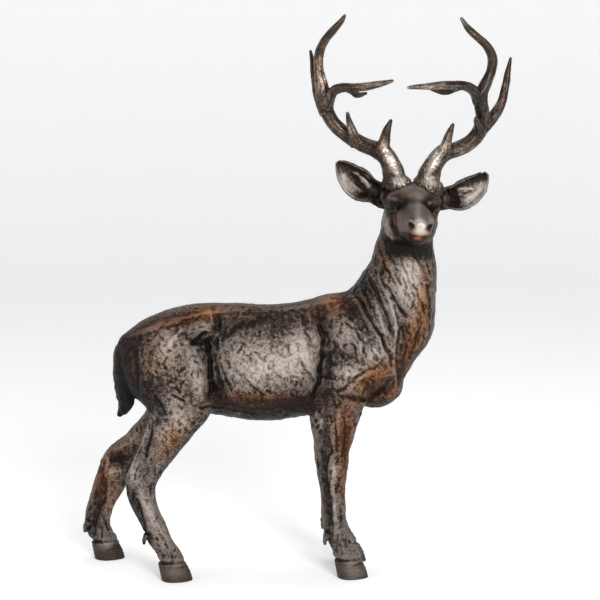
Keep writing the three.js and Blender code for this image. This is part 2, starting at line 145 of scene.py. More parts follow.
class Field:
    """Signed distances on a grid in the drawn frame, negative inside."""

    def __init__(self, low, high, voxel):
        self.voxel = voxel
        self.first = np.floor(np.asarray(low) / voxel).astype(int)
        last = np.ceil(np.asarray(high) / voxel).astype(int)
        self.d = np.full(last - self.first + 1, FAR, np.float32)

    def all(self):
        return tuple(slice(0, n) for n in self.d.shape)

    def window(self, low, high):
        a = np.floor(np.asarray(low) / self.voxel).astype(int) - self.first
        b = np.ceil(np.asarray(high) / self.voxel).astype(int) + 1 - self.first
        a, b = np.clip(a, 0, self.d.shape), np.clip(b, 0, self.d.shape)
        return tuple(slice(p, q) for p, q in zip(a, b))

    def axes(self, window):
        shapes = ((-1, 1, 1), (1, -1, 1), (1, 1, -1))
        return [((np.arange(w.start, w.stop) + f) * self.voxel).astype(np.float32).reshape(s)
                for w, f, s in zip(window, self.first, shapes)]

    def put(self, distance, window, blend, cut=False):
        here = self.d[window]
        if cut:
            here[...] = -smooth_min(-here, distance, blend)
        else:
            here[...] = smooth_min(here, distance, blend)

    def skin(self, made, reach, window=None):
        """Distances to a closed skin, and the window that they fill."""
        points, faces = made
        half = int(math.ceil(reach / self.voxel)) + 2
        grid = vdb.FloatGrid.createLevelSetFromPolygons(
            points.astype(np.float32), triangles=faces.astype(np.uint32),
            transform=vdb.createLinearTransform(self.voxel), halfWidth=half)
        margin = (half + 1) * self.voxel
        window = window or self.window(points.min(0) - margin, points.max(0) + margin)
        out = np.empty([w.stop - w.start for w in window], np.float32)
        grid.copyToArray(out, ijk=tuple(int(w.start + f) for w, f in zip(window, self.first)))
        return out, window

    def add(self, made, blend, reach=18.0):
        self.put(*self.skin(made, reach), blend)

    def ball(self, centre, radii, blend, turn=None, cut=False, margin=0.0):
        """Adds or cuts an ellipsoid. turn is a rotation matrix that takes its axes into the drawn frame,
        and margin is how much further out its distances are wanted."""
        centre, radii = np.asarray(centre, float), np.asarray(radii, float)
        turn = np.eye(3) if turn is None else turn
        reach = np.abs(turn) @ radii + blend + margin + 3 * self.voxel
        window = self.window(centre - reach, centre + reach)
        x, y, z = [a - c for a, c in zip(self.axes(window), centre)]
        local = [turn[0, i] * x + turn[1, i] * y + turn[2, i] * z for i in range(3)]
        near = np.sqrt(sum((p / r) ** 2 for p, r in zip(local, radii)))
        steep = np.sqrt(sum((p / r**2) ** 2 for p, r in zip(local, radii)))
        distance = np.where(steep > 1e-6, near * (near - 1) / np.maximum(steep, 1e-6), -radii.min())
        self.put(distance.astype(np.float32), window, blend, cut)

    def rope(self, points, blend, cut=False):
        """Adds or cuts a round strand along [x, y, z, radius]."""
        points, _ = catmull(points, np.linspace(0, 1, 3 * len(points) - 2))
        reach = points[:, 3:].max() + blend + 3 * self.voxel
        window = self.window(points[:, :3].min(0) - reach, points[:, :3].max(0) + reach)
        grid = self.axes(window)
        distance = None
        for a, b in zip(points[:-1], points[1:]):
            d = b[:3] - a[:3]
            w = sum((g - p) * q for g, p, q in zip(grid, a[:3], d)) / max(float(d @ d), 1e-9)
            w = np.clip(w, 0, 1)
            r = a[3] + (b[3] - a[3]) * w
            gap = np.sqrt(sum((g - p - q * w) ** 2 for g, p, q in zip(grid, a[:3], d))) - r
            distance = gap if distance is None else np.minimum(distance, gap)
        self.put(distance.astype(np.float32), window, blend, cut)

    def at(self, places):
        """The distance at any places, far off outside the grid."""
        probe = places / self.voxel - self.first
        base = np.floor(probe).astype(int)
        within = ((base >= 0) & (base < np.array(self.d.shape) - 1)).all(1)
        base, w = base[within], (probe - base)[within]
        out, found = np.full(len(places), FAR), 0
        for corner in np.ndindex(2, 2, 2):
            share = np.prod(np.where(corner, w, 1 - w), axis=1)
            found = found + share * self.d[tuple((base + corner).T)]
        out[within] = found
        return out

    def band(self, reach):
        """Indices and places of the grid points near the skin."""
        index = np.nonzero(np.abs(self.d) < reach)
        place = np.stack([((i + f) * self.voxel).astype(np.float32) for i, f in zip(index, self.first)], -1)
        return index, place

    def polygons(self):
        grid = vdb.FloatGrid()
        grid.background = FAR
        grid.copyFromArray(self.d)
        points, _, quads = grid.convertToPolygons(isovalue=0.0, adaptivity=0.0)
        return (points + self.first) * self.voxel, quads


# Noise
LATTICE = np.random.default_rng(5).uniform(-1, 1, 64**3).astype(np.float32)


def noise(points, seed):
    """Smooth value noise, about -1 to 1, with a wavelength of about 2."""
    base = np.floor(points)
    w = (points - base).astype(np.float32)
    w = w * w * (3 - 2 * w)
    i, j, k = (base.astype(np.int32) + (seed * 17, seed * 5, seed * 29)).astype(np.int32).T
    rows = [((i + a) & 63) * 4096 for a in (0, 1)]
    columns = [((j + b) & 63) * 64 for b in (0, 1)]
    deep = [(k + c) & 63 for c in (0, 1)]
    x, y, z = w.T

    def edge(a, b):
        near, far = LATTICE[rows[a] + columns[b] + deep[0]], LATTICE[rows[a] + columns[b] + deep[1]]
        return near + (far - near) * z

    low = edge(0, 0) + (edge(0, 1) - edge(0, 0)) * y
    high = edge(1, 0) + (edge(1, 1) - edge(1, 0)) * y
    return low + (high - low) * x


def step(low, high, value):
    """0 below low, 1 above high, smooth between."""
    t = np.clip((value - low) / (high - low), 0, 1)
    return t * t * (3 - 2 * t)


# The stag's tables: rings [x, y, z, half across, half deep] in millimetres
TRUNK = [
    [-251, 0, 301, 18, 30], [-239, 0, 303, 34, 46.5], [-218, 0, 305, 45, 60], [-189, 0, 309, 50, 69],
    [-153, 0, 313, 50, 76], [-126, 0, 313, 45, 79], [-104, 0, 311, 52, 81], [-82, 0, 309, 58, 82.5],
    [-47, 0, 306, 62, 83], [-11, 0, 309.5, 60, 81.5], [14, 0, 313, 55, 81.5], [32, 0, 317, 46, 82],
    [60, 0, 320, 46, 87], [88, 0, 316, 44, 83], [116, 0, 306, 36, 60], [133, 0, 296, 23, 39],
]
NECK = [
    [119, 0, 260, 24, 24], [115, 0, 295, 38, 43], [118, 0, 335, 47, 60], [129, 0, 374, 50, 66],
    [142.5, 0, 418, 47, 54.5], [147.5, 0, 440, 45, 49], [149, 0, 463, 43, 43], [152, 0, 486, 40, 38],
    [154, 3, 508, 34, 35], [155, 5, 527, 25, 28], [155, 6, 541, 14, 18],
]
HEAD_AT = np.array([154.0, 12.0, 527.0])
HEAD_TURN, HEAD_NOD, HEAD_TILT = 184, -12, -5
SKULL = [
    [0, 0, 8, 24, 22], [0, 14, 6, 33, 36.5], [0, 28, 0, 36, 44], [0, 42, -4, 37.5, 41.5],
    [0, 55, -3.5, 33.5, 35], [0, 73, 0.5, 25.5, 26.5], [0, 91, 1.5, 20, 22.5], [0, 107, 2.5, 17, 18.5],
    [0, 117, 4, 15.5, 14.5], [0, 123, 4.5, 12, 9],
]
# What the antlers sit on besides the skull, as a centre and radii in the head's frame for s = 1.
BROW, CROWN = ((27, 49, 26), (9, 12, 7)), ((23, 21, 21), (20, 18, 19))
CHIN = ((0, 108, -10), (11, 13, 8.5))
EAR_RIGHT = [
    [142, 12, 530, 8, 12], [121, 8, 542, 11, 17.5], [106, 4, 549, 13, 16.5], [92, 1, 555.5, 13, 21],
    [80, 1, 565, 11.5, 22], [67.5, 3, 577, 8, 16.5], [60, 5, 585, 5, 10.5], [55.5, 6, 589.5, 2.5, 5],
]
EAR_LEFT = [
    [174, 12, 530, 8, 12], [198, 8, 537, 11, 15.5], [212, 4, 540.5, 13, 16.5], [225.5, 1, 542.5, 13, 20.5],
    [238.5, 1, 549.5, 11.5, 20.5], [250.5, 3, 559, 8, 17], [260, 5, 569.5, 5, 10], [264.5, 6, 573.5, 2.5, 5],
]
FORE_LEG = [
    [60, -31, 286, 22, 44], [56, -33, 258, 22, 38], [51, -34, 230, 19.5, 34], [50.2, -35, 206, 17, 29],
    [48.5, -36, 183, 15, 24], [48.6, -36, 152, 14.3, 21.5], [49.6, -36, 125, 12.3, 17.2],
    [51.5, -36, 93, 11.8, 16.5], [54, -36, 69, 13, 17.3], [63, -36, 46, 12, 15], [70, -36, 31, 13.3, 17],
    [74, -36, 20, 13.5, 18],
]
HIND_LEG_RIGHT = [
    [-172, -28, 334, 26, 48], [-171, -31, 305, 28, 51], [-170, -36, 258, 25, 54], [-177, -41, 226, 20, 34.5],
    [-195, -45, 192, 16.5, 25.5], [-212, -47, 164, 14, 22], [-221, -48, 143, 13, 21.5],
    [-220.5, -48, 121, 12.5, 19.5], [-213, -48, 99, 12, 16.8], [-205, -48, 80, 12, 16.7],
    [-199, -48, 66, 12.5, 17], [-189, -48, 48, 11.5, 14.5], [-181, -48, 33, 12.5, 16.5],
    [-178, -48, 20, 13.5, 18],
]
HIND_LEG_LEFT = [
    [-176, 28, 331, 26, 46], [-177, 31, 296, 27, 46], [-182, 35, 250, 25, 35], [-201, 40, 212, 20, 25.5],
    [-234, 45, 178, 16.5, 22], [-262, 47, 151, 14.5, 24], [-273, 48, 126, 13.5, 24],
    [-284, 48, 103, 12.5, 21.3], [-292, 48, 83, 12, 19.3], [-297, 48, 65, 12.3, 18.5],
    [-297, 48, 50, 12.5, 18], [-291, 48, 36, 12, 16.5], [-286, 48, 25, 13, 18], [-284, 48, 18, 13.5, 18.5],
]
TAIL = [
    [-238, 0, 336, 12, 12], [-249, 0, 318, 16, 13], [-250, 0, 296, 18, 14], [-249, 0, 270, 16, 13],
    [-246, 0, 250, 13, 12], [-250, 0, 238, 10, 9], [-257, 0, 230, 4, 5],
]
SOLES = [(79, -36), (79, 36), (-172, -48), (-280, 48)]
DEWCLAWS = [(44, -36, 66), (42, 36, 66), (-212, -48, 70), (-309, 48, 58)]
HOOF_LENGTH, HOOF_WIDTH, HOOF_HEIGHT = 45, 31, 26
ANTLER_RIGHT = {
    "beam": [[140, -16, 544, 17], [137, -14, 559, 20.5], [134, -12, 570, 17], [130, -8, 586, 13.8],
             [122, -4, 600, 12.8], [109, 2, 608, 11.8], [91, 8, 615, 10.8], [70, 14, 626.5, 10.3],
             [51.5, 16, 642, 10.1], [41, 12, 660, 10.1], [36, 5, 679, 10.4], [31.5, 2, 701, 9],
             [28, 2, 723, 6.7], [30, 0, 743, 6.5], [37.5, -3, 759, 6], [49.5, -8, 773, 5],
             [59.5, -12, 784, 3.8], [64, -14, 791.5, 2]],
    "front": [[40, 6, 671, 9], [48, -8, 687.5, 7.2], [59, -24, 693.5, 6.4], [75, -42, 694.5, 6.1],
              [94, -58, 696.5, 5.5], [112, -70, 700, 4.2], [126, -78, 704, 2]],
    "underside": [[71, -40, 692, 4.5], [81, -28, 684.5, 4.3], [94, -14, 686.5, 2]],
    "brow": [[115, -2, 603, 10], [120, -8, 621, 8], [123, -12, 635, 5.8], [128, -14, 648.5, 2.6]],
    "second": [[83, 8, 615, 8], [75, -2, 635, 6.2], [70.5, -7, 648, 4.5], [68.5, -10, 659, 2.4]],
    "outer": [[38, 12, 659, 7.5], [30, 12, 677, 7], [25.5, 18, 693, 6], [22.5, 25, 711, 4.8],
              [20.5, 30, 727, 3.6], [17.5, 34, 744, 2]],
}
ANTLER_LEFT = {
    "beam": [[179, -16, 540, 17], [181, -14, 556, 21], [181, -12, 567, 18], [186, -8, 582, 14],
             [195, -3, 596, 12.8], [206, 3, 604, 12], [222, 8, 608, 11], [241.5, 14, 618, 10.8],
             [255, 14, 635, 10.7], [258, 10, 653, 10.2], [254.5, 4, 672, 9.8], [255, 1, 687, 9],
             [260.5, 0, 701, 7.8], [267, 0, 717, 6.9], [268, -2, 735, 6.5], [260, -5, 750, 6.1],
             [246.5, -9, 762, 5.4], [233, -13, 774, 4.4], [223, -16, 787.5, 2.2]],
    "front": [[251, 4, 677, 9], [243, -8, 689, 7.5], [230, -22, 696, 6.4], [210, -40, 697.5, 6.3],
              [189, -56, 697, 5.4], [166, -68, 696, 4], [147, -76, 695, 2]],
    "underside": [[216, -36, 694, 4.5], [200, -24, 688, 4.3], [184, -10, 691, 2]],
    "brow": [[201, -1, 600, 9.5], [206, -8, 618, 7], [210, -11, 632, 5], [214, -13, 643, 2.6]],
    "second": [[254, 10, 636, 8], [248, -6, 646, 5], [245, -16, 653, 2.4]],
    "outer": [[261, 12, 640, 9], [275, 20, 655, 8], [285.5, 26, 673, 6.6], [291.5, 30, 696, 5.4],
              [294.5, 32, 715, 4.2], [298.5, 34, 734, 2]],
}
SEAM = 0.3


def rotation(axis, degrees):
    return np.array(Matrix.Rotation(math.radians(degrees), 3, axis))


HEAD = rotation("Z", HEAD_TURN) @ rotation("X", HEAD_NOD) @ rotation("Y", HEAD_TILT)


def from_head(point):
    return HEAD @ np.asarray(point, float) + HEAD_AT


def to_head(points):
    return (points - HEAD_AT) @ HEAD


def mirrored(rings, shift=0):
    return [[x + shift, -y, z, a, b] for x, y, z, a, b in rings]


# The body's forms
def skull():
    points, faces = loft(SKULL, side=X, power=2.2, egg=-0.08, cap=(0, 0.5))
    return points @ HEAD.T + HEAD_AT, faces


def hoof(at):
    """Two toes on one sole: a closed skin whose outline slides back as it rises."""
    sides = 56
    angle = np.linspace(0, 2 * math.pi, sides, endpoint=False)
    levels = [(0, 0, 1), (0.25, -0.035, 0.985), (0.5, -0.07, 0.97), (0.75, -0.12, 0.925), (1, -0.17, 0.86)]
    rings = []
    for up, slide, size in levels:
        along = np.cos(angle) * HOOF_LENGTH * size / 2 + slide * HOOF_LENGTH
        across = np.sin(angle) * (1 - 0.22 * np.cos(angle)) * HOOF_WIDTH * size / 2
        rings.append(np.c_[at[0] + along, at[1] + across, np.full(sides, up * HOOF_HEIGHT)])
    points = np.vstack(rings + [rings[0].mean(0)[None], rings[-1].mean(0)[None]])
    return points, closed_faces(len(levels), sides)


def cleave(body, at):
    """The slot between a hoof's two toes, open at the front."""
    window = body.window((at[0] - 4, at[1] - 6, -8), (at[0] + 32, at[1] + 6, 32))
    x, y, z = body.axes(window)
    back = np.maximum(at[0] + 3 + 0.12 * z - x, z - 22)
    slot = np.maximum(np.abs(y - at[1]) - 1.3, back)
    body.put(slot, window, 1.5, cut=True)


def build_head(body):
    """The face's own masses and cuts, placed in the head's frame. s = -1 mirrors them to the other side."""
    def ball(s, centre, radii, blend, cut=False):
        body.ball(from_head((s * centre[0], *centre[1:])), radii, blend, HEAD, cut)

    def rope(s, points, blend, cut=False):
        body.rope([[*from_head((s * x, y, z)), r] for x, y, z, r in points], blend, cut)

    body.add(skull(), 8)
    # The crest of the forehead and the bridge of the nose.
    ball(1, (0, 31, 24), (34, 30, 19.5), 6)
    ball(1, (0, 86, 14), (8.5, 36, 9), 6)
    for s in (-1, 1):
        # The cheek, the bones under the antler and the brow, and the jaw with the hollow above it.
        ball(s, (19, 30, -20), (13, 25, 19), 8)
        ball(s, *CROWN, 6)
        ball(s, *BROW, 7)
        rope(s, [(32.5, 42, -8, 3), (29.5, 50, -21, 3), (23.5, 62, -27, 3), (15, 78, -22, 2)], 7)
        rope(s, [(34, 60, 3, 3), (30.5, 66, -8, 3), (25.5, 74, -16, 2.5)], 5, cut=True)
        # The brow's ridge, the hollow beside the bridge, the socket, the eye and its two lids.
        rope(s, [(20, 60, 25.5, 2), (24, 57, 26.5, 2.4), (29, 53, 27, 2.6), (34, 46, 25, 2.4),
                 (36.5, 40, 20, 2)], 7)
        ball(s, (27.5, 69, 30), (9, 13, 8), 8, cut=True)
        ball(s, (36.5, 52, 16.5), (7.5, 10.5, 7), 3.5, cut=True)
        ball(s, (29.2, 52.5, 15.8), (7.9, 8.2, 7.6), 0.6)
        inner, outer = (25.5, 63, 12.5, 1.3), (33.5, 39.5, 14.5, 1.3)
        rope(s, [inner, (29.5, 59.5, 19.5, 1.8), (32.5, 52, 22.8, 2.2), (34, 44.5, 20.5, 1.8), outer], 1.6)
        rope(s, [inner, (31, 58.5, 8.8, 1.5), (34.2, 51, 7, 1.6), (35, 44, 9, 1.5), outer], 1.6)
    # The nose pad and its wings, the upper lips, then the chin with the lower lip on it.
    ball(1, (0, 117.5, 11), (11, 10, 8.5), 3)
    for s in (-1, 1):
        ball(s, (8.5, 116, 3), (8, 10, 6), 3)
        ball(s, (13, 117, 13.5), (4.2, 8, 5), 3)
    ball(1, *CHIN, 3)
    ball(1, (0, 115, -8), (9.5, 8.5, 4.5), 3)
    # The nostrils, the lines from them to the middle of the lip, and the mouth.
    for s in (-1, 1):
        rope(s, [(7.5, 127.5, 9.2, 2.4), (11, 126.5, 10.8, 3.9), (15.5, 122, 13.4, 2.6)], 1, cut=True)
        rope(s, [(15.5, 122, 10, 1), (11, 126.3, 5, 1), (5, 128, 0, 1)], 1, cut=True)
    mouth = [(18.5, 96, -8, 1.4), (16.5, 106, -6.6, 1.8), (14, 115, -5, 2), (8, 124, -3.6, 2.2)]
    rope(1, [(-x, y, z, r) for x, y, z, r in mouth] + [(0, 127, -3.2, 2.2)] + mouth[::-1], 1, cut=True)


def build_body():
    body = Field((-332, -130, -7), (275, 86, 606), BODY_VOXEL)
    body.add(loft(TRUNK, power=2.2, egg=0.12, cap=(0.5, 0.5)), 0)
    body.add(loft(NECK, power=2.1, cap=(0, 0.6)), 14)
    for s in (RIGHT, LEFT):
        for centre, radii, lean in (
                ((70, 28, 341), (31, 25, 53), -24), ((96, 31, 307), (42, 24, 34), 30),
                ((64, 32, 291), (36, 23, 42), 0), ((-176, 30, 325), (48, 27, 46), 15),
                ((-140, 30, 357), (36, 17, 15), 12)):
            body.ball((centre[0], s * centre[1], centre[2]), radii, 9, rotation("Y", lean))
    body.ball((110, 0, 271), (36.5, 28, 30.5), 12)
    body.add(loft(TAIL, cap=(0, 0.8)), 6)
    for rings in (FORE_LEG, mirrored(FORE_LEG, -2), HIND_LEG_RIGHT, HIND_LEG_LEFT):
        body.add(loft(rings, cap=(0, 0)), 9)
    for x, y, z in DEWCLAWS:
        for s in (-1, 1):
            body.add(loft([[x, y + s * 7, z, 6, 6], [x - 5, y + s * 8, z - 7, 5, 4],
                           [x - 6, y + s * 9, z - 14, 3, 2.5]], cap=(0, 0.8), sides=20), 2, reach=8)
    for at in SOLES:
        body.add(hoof(at), 3)
        cleave(body, at)
    # Ears are joined before the head, each cupped from the front.
    for rings in (EAR_RIGHT, EAR_LEFT):
        shell, window = body.skin(loft(rings, cap=(0, 0.8)), 6)
        cup = [[x, y - a * 0.75, z, a, max(b - 2.6, 0.5)] for x, y, z, a, b in rings[2:]]
        hollow, _ = body.skin(loft(cup, cap=(0.8, 0)), 6, window)
        body.put(-smooth_min(-shell, hollow, 1.5), window, 5)
    build_head(body)
    return body


def antler(tubes):
    points = np.vstack([np.asarray(t) for t in tubes.values()])[:, :3]
    horn = Field(points.min(0) - 26, points.max(0) + 26, ANTLER_VOXEL)
    for name, tube in tubes.items():
        rings = [[x, y, z, r, r] for x, y, z, r in tube]
        horn.add(loft(rings, cap=(0, 0.9), sides=32), 0 if name == "beam" else 5, reach=8)
    return horn


# The photograph's view, and the relief drawn in its pixels
EYE_LEVEL = 396.0
VIEW_BACK = 2100.0  # from the camera to the stag's middle plane, in millimetres
PIXEL = 1.416  # millimetres that one pixel spans there
PICTURE = 600  # pixels along each side of the photograph
VIEW_RISE = math.radians(9)
MIDDLE = (298.0, 300.0)  # where the photograph shows the drawn origin at eye level, in pixels
FLIP = np.array([1.0, -1.0, 1.0])


def pixels(places):
    """Where the photograph shows drawn places, in pixels."""
    away = np.asarray(places, float) - (0, 0, EYE_LEVEL)
    rise, run = math.sin(VIEW_RISE), math.cos(VIEW_RISE)
    depth = VIEW_BACK + away[:, 1] * run - away[:, 2] * rise
    focal = VIEW_BACK / PIXEL
    up = away[:, 1] * rise + away[:, 2] * run
    return np.stack([MIDDLE[0] + focal * away[:, 0] / depth, MIDDLE[1] - focal * up / depth], -1)


# Folds of the hide, in pixels of the photograph: the path, then in millimetres its half width, its depth
# (a ridge is below 0) and, if it does, how far the hide on the path's right-hand side swells beside it.
FOLDS = [
    # before the haunch: the deep groove, its lower hollow and the fold under the hip
    ([(209, 333), (208.5, 352), (210.5, 370), (211, 388), (209, 400)], 4.2, 6.4),
    ([(211, 347), (215, 356), (216, 370), (221, 384), (226, 398)], 3.2, 2.6, -0.8),
    ([(212, 380), (216, 392), (218, 400)], 5.5, 3.0),
    ([(210, 332), (200, 338), (189, 346)], 3.4, 4.4, 1.6),
    ([(200, 346), (203, 356), (205, 368)], 6.0, 1.8),
    ([(218, 313), (219, 321), (219.5, 333)], 2.6, 3.6, -2.0),
    # behind the shoulder
    ([(317, 308), (319, 324), (323, 336), (322, 350), (320.5, 367), (318, 382), (314, 394), (310, 406)],
     3.6, 6.6),
    ([(320, 325), (325, 334), (332, 343), (339, 348)], 2.4, 3.2, -1.2),
    ([(326, 350), (329, 366), (328, 384)], 6.5, 1.6),
    # shoulder
    ([(338, 314), (344, 321), (351, 327), (359, 331)], 1.9, 2.2, -0.8),
    ([(348, 341), (354, 347), (356, 355), (360, 363), (366, 367)], 2.0, 2.2, -0.7),
    ([(365.5, 336), (375.5, 343)], 1.5, 1.3),
    ([(333, 393), (344, 388), (355, 378), (366, 371), (378, 365), (386, 357)], 2.6, 2.2, 1.6),
    ([(341, 395), (352, 399), (366, 399.5), (378, 392), (386, 383), (394, 375)], 2.6, 3.2, 1.2),
    # the shoulder's edge against the neck
    ([(354, 295), (362.5, 305), (370, 320), (379, 333), (384, 346), (390.5, 358), (393, 368)], 2.2, 3.6, 1.4),
    # down the neck: grooves and the ridges between them
    ([(368, 276), (377, 294), (384, 310), (389.5, 324), (391, 334)], 2.6, 4.2),
    ([(379, 281), (387.5, 298), (394, 313), (396, 329), (394, 344)], 2.6, -2.4),
    ([(380, 277), (392, 296), (400.5, 309), (408, 318)], 2.2, 3.4),
    ([(398, 315), (399.5, 329), (397.5, 345), (396.5, 361), (398, 379), (400, 388)], 2.2, 3.0, 1.0),
    ([(375.5, 300), (382, 322), (386.5, 338), (388.5, 348)], 2.0, -1.6),
    ([(362, 288), (370, 303), (376, 320)], 2.4, 1.8),
    ([(379, 246), (384, 262), (391, 277), (397, 290)], 2.0, 2.4),
    ([(386, 248), (391, 260), (398, 272)], 2.2, 2.0),
    ([(393, 300), (400, 292), (404, 280), (402, 266)], 3.6, -1.6),
    ([(408, 281), (413, 286), (418, 290)], 1.5, 1.6),
    ([(410, 292), (414.5, 297), (413.5, 306), (410, 311)], 1.5, 1.6),
    ([(403, 276), (406, 290), (405, 303)], 1.4, 1.3),
    ([(417, 294), (422, 306), (424, 320)], 1.6, 1.8),
    ([(425, 282), (429, 300), (428, 322)], 1.8, 1.8),
    ([(420, 326), (414, 345), (407, 360)], 2.0, 2.0),
    ([(411, 334), (405, 352), (402, 368)], 1.8, 1.6),
    # ribs and belly
    ([(302.5, 328), (308, 336), (312, 342)], 1.8, 2.2),
    ([(307, 343), (311, 350)], 3.2, 1.8),
    ([(288, 343), (289, 351), (292, 356)], 1.7, 2.0, -0.7),
    ([(298.5, 354), (304, 366), (310.5, 375), (315, 382)], 1.8, 2.0, -0.7),
    ([(273, 360), (275.5, 372), (282.5, 378.5)], 1.8, 2.0, -0.8),
    ([(253, 351), (258, 355), (264, 362)], 1.6, 1.7),
    ([(243, 372), (245, 379), (251.5, 386), (259.5, 392.5), (266, 396.5)], 2.0, 2.2, -1.0),
    ([(219, 360), (223.5, 374), (229, 385), (233, 395)], 2.4, 2.4, -0.8),
    ([(219, 337), (230, 332.5), (237, 327), (250, 323), (263, 318.5), (282, 316)], 5.5, 1.8, 0.8),
    ([(217, 352), (217.5, 340), (221, 333)], 2.6, 1.8),
    ([(212, 405), (232, 405), (257, 409), (284, 406), (304, 397)], 3.0, 1.8, -1.2),
    ([(196, 409), (212, 407), (228, 406)], 1.8, 1.6),
    # the ledges of the back
    ([(216, 310), (244, 309.5), (270, 309), (297, 308), (315, 304), (331, 298)], 4.5, -1.4),
    ([(127, 338), (150, 329), (168, 323), (189, 317.5), (207, 312), (215, 311)], 4.0, -3.2),
    # haunch
    ([(184, 327.5), (175, 336), (167, 347)], 4.0, -2.4),
    ([(212, 314), (211, 322), (207, 330)], 4.5, -2.4),
    ([(325, 299), (329, 310), (331, 322)], 6.0, -1.6),
    ([(386, 357), (393, 352), (397, 343)], 3.0, -1.6),
    ([(168, 356), (161.5, 366)], 2.0, 1.8),
    ([(170.5, 394), (177, 397), (182, 400), (186, 403)], 2.0, 2.4, 0.9),
    ([(178, 405), (184, 409)], 2.6, 1.6),
    ([(153, 394), (162.5, 406), (168, 417)], 3.0, 2.2, -1.0),
    ([(137, 345), (136, 360), (138, 376), (140, 392)], 3.0, 1.6),
    # near hind leg
    ([(153, 420), (151.5, 438), (147.5, 451), (145, 459)], 2.0, 3.0),
    ([(149, 424), (143.5, 437), (137.5, 451), (133.5, 461), (131.5, 474)], 2.4, -1.4),
    ([(146, 469), (141, 476), (137, 484)], 1.6, -1.4),
    ([(138, 466), (135, 474), (134.5, 482)], 1.6, 1.6),
    ([(135, 492), (142, 512), (146, 527), (148, 537)], 2.0, 2.4, -0.9),
    ([(162, 523), (168, 538)], 1.4, -1.0),
    ([(158, 529), (164, 543)], 1.4, 1.2),
    ([(156.5, 537), (159, 541)], 2.0, 1.6),
    # near fore leg
    ([(328, 425), (330, 440), (331, 452), (327, 464), (328, 483), (331, 502), (332, 521), (333.5, 540)],
     1.9, 2.4, -0.9),
    ([(334, 463), (334, 478)], 5.0, -1.5),
    ([(333.5, 487), (335, 508), (337.5, 525)], 2.2, -1.0),
    ([(340, 476), (337.5, 486), (337, 496)], 1.7, 1.8),
    ([(340, 505), (340.5, 524)], 1.3, 1.2),
    ([(343, 414), (346, 428), (343, 446), (340, 458)], 2.0, 1.8),
    ([(334, 412), (336, 430), (336, 448)], 1.8, 1.4),
]
# The far legs show beyond the near ones, and their folds are drawn where the photograph shows them.
FAR_FOLDS = [
    ([(119, 456), (120, 462)], 7.0, 3.0),
    ([(117, 449.5), (124, 445.5), (131, 442), (138, 432)], 1.6, -1.2),
    ([(108, 456), (107, 466), (101, 477)], 2.0, -1.4),
    ([(105.5, 474), (105.5, 497), (100.5, 508), (96.5, 522), (94, 537)], 2.0, 2.6, -0.8),
    ([(110, 478), (108, 500), (103, 516)], 2.2, -0.8),
    ([(108, 474.5), (118, 470)], 1.6, -1.2),
]
# Folds of the ears' stalks and the hair in their cups.
HEAD_FOLDS = [
    ([(349, 170.5), (357, 179), (367, 189.5)], 1.7, 2.4),
    ([(360, 175.5), (366, 182), (371, 189)], 1.8, -1.8),
    ([(352.5, 171), (359, 175.5)], 1.4, -1.4),
    ([(342, 172), (345, 181), (350, 189)], 4.0, -1.6),
    ([(354, 183), (361, 188), (368, 190.5)], 1.3, 1.8),
    ([(348, 178), (352, 186), (359, 192)], 1.2, 1.2, -0.6),
    ([(361, 193), (367, 195), (371, 193)], 2.6, 2.4),
    ([(459, 197.5), (467, 193), (475, 188.5)], 1.8, 2.4),
    ([(458.5, 189.5), (466, 188.2), (473, 190)], 1.5, -1.8),
    ([(460, 195), (468, 195)], 1.2, -1.4),
    ([(484, 185), (474, 194), (463, 203)], 4.0, -1.6),
    ([(470, 184), (478, 181), (484, 178)], 1.2, 1.4, -0.6),
    ([(454, 196), (456, 201), (461, 205)], 2.6, 2.4),
    ([(377.3, 184), (378.5, 192), (377, 199)], 1.3, 1.6),
    ([(380.3, 183), (382, 191), (380.5, 200)], 1.3, -1.5),
    ([(383.5, 184), (385, 192), (384, 201)], 1.5, 2.0),
    ([(373.5, 200), (378, 205), (383, 212)], 2.0, 1.8),
    ([(446, 188), (448, 194), (447, 201)], 1.3, 1.6),
    ([(449.5, 187), (451, 193), (450, 200)], 1.3, -1.5),
    ([(443, 190), (444.5, 198), (443.5, 205)], 1.5, 2.0),
    ([(396, 212), (396.5, 224), (399, 237)], 2.0, 1.5, -0.6),
]
# Heights of the crease where the hair ends above each hoof, and of the swelling over it.
CORONET, PASTERN = 28.0, 34.0


BOW = 0.18  # how far a tool mark's ends drop, as a share of its length


class Near:
    """Finds which of many places lie near a box, by sorting them into cells."""

    def __init__(self, places, cell):
        self.cell = cell
        self.low = places.min(0)
        keys = np.floor((places - self.low) / cell).astype(np.int64)
        self.size = keys.max(0) + 1
        code = self.code(keys)
        self.order = np.argsort(code, kind="stable")
        self.codes = code[self.order]

    def code(self, keys):
        out = keys[..., 0]
        for axis in range(1, len(self.size)):
            out = out * self.size[axis] + keys[..., axis]
        return out

    def box(self, low, high):
        a = np.clip(np.floor((low - self.low) / self.cell).astype(int), 0, self.size - 1)
        b = np.clip(np.floor((high - self.low) / self.cell).astype(int), 0, self.size - 1)
        ranges = [np.arange(p, q + 1) for p, q in zip(a[:-1], b[:-1])]
        rows = np.stack(np.meshgrid(*ranges, indexing="ij"), -1).reshape(-1, len(a) - 1)
        starts = self.code(np.c_[rows, np.full(len(rows), a[-1])])
        ends = self.code(np.c_[rows, np.full(len(rows), b[-1])])
        first = np.searchsorted(self.codes, starts)
        last = np.searchsorted(self.codes, ends, side="right")
        return np.concatenate([self.order[p:q] for p, q in zip(first, last)])


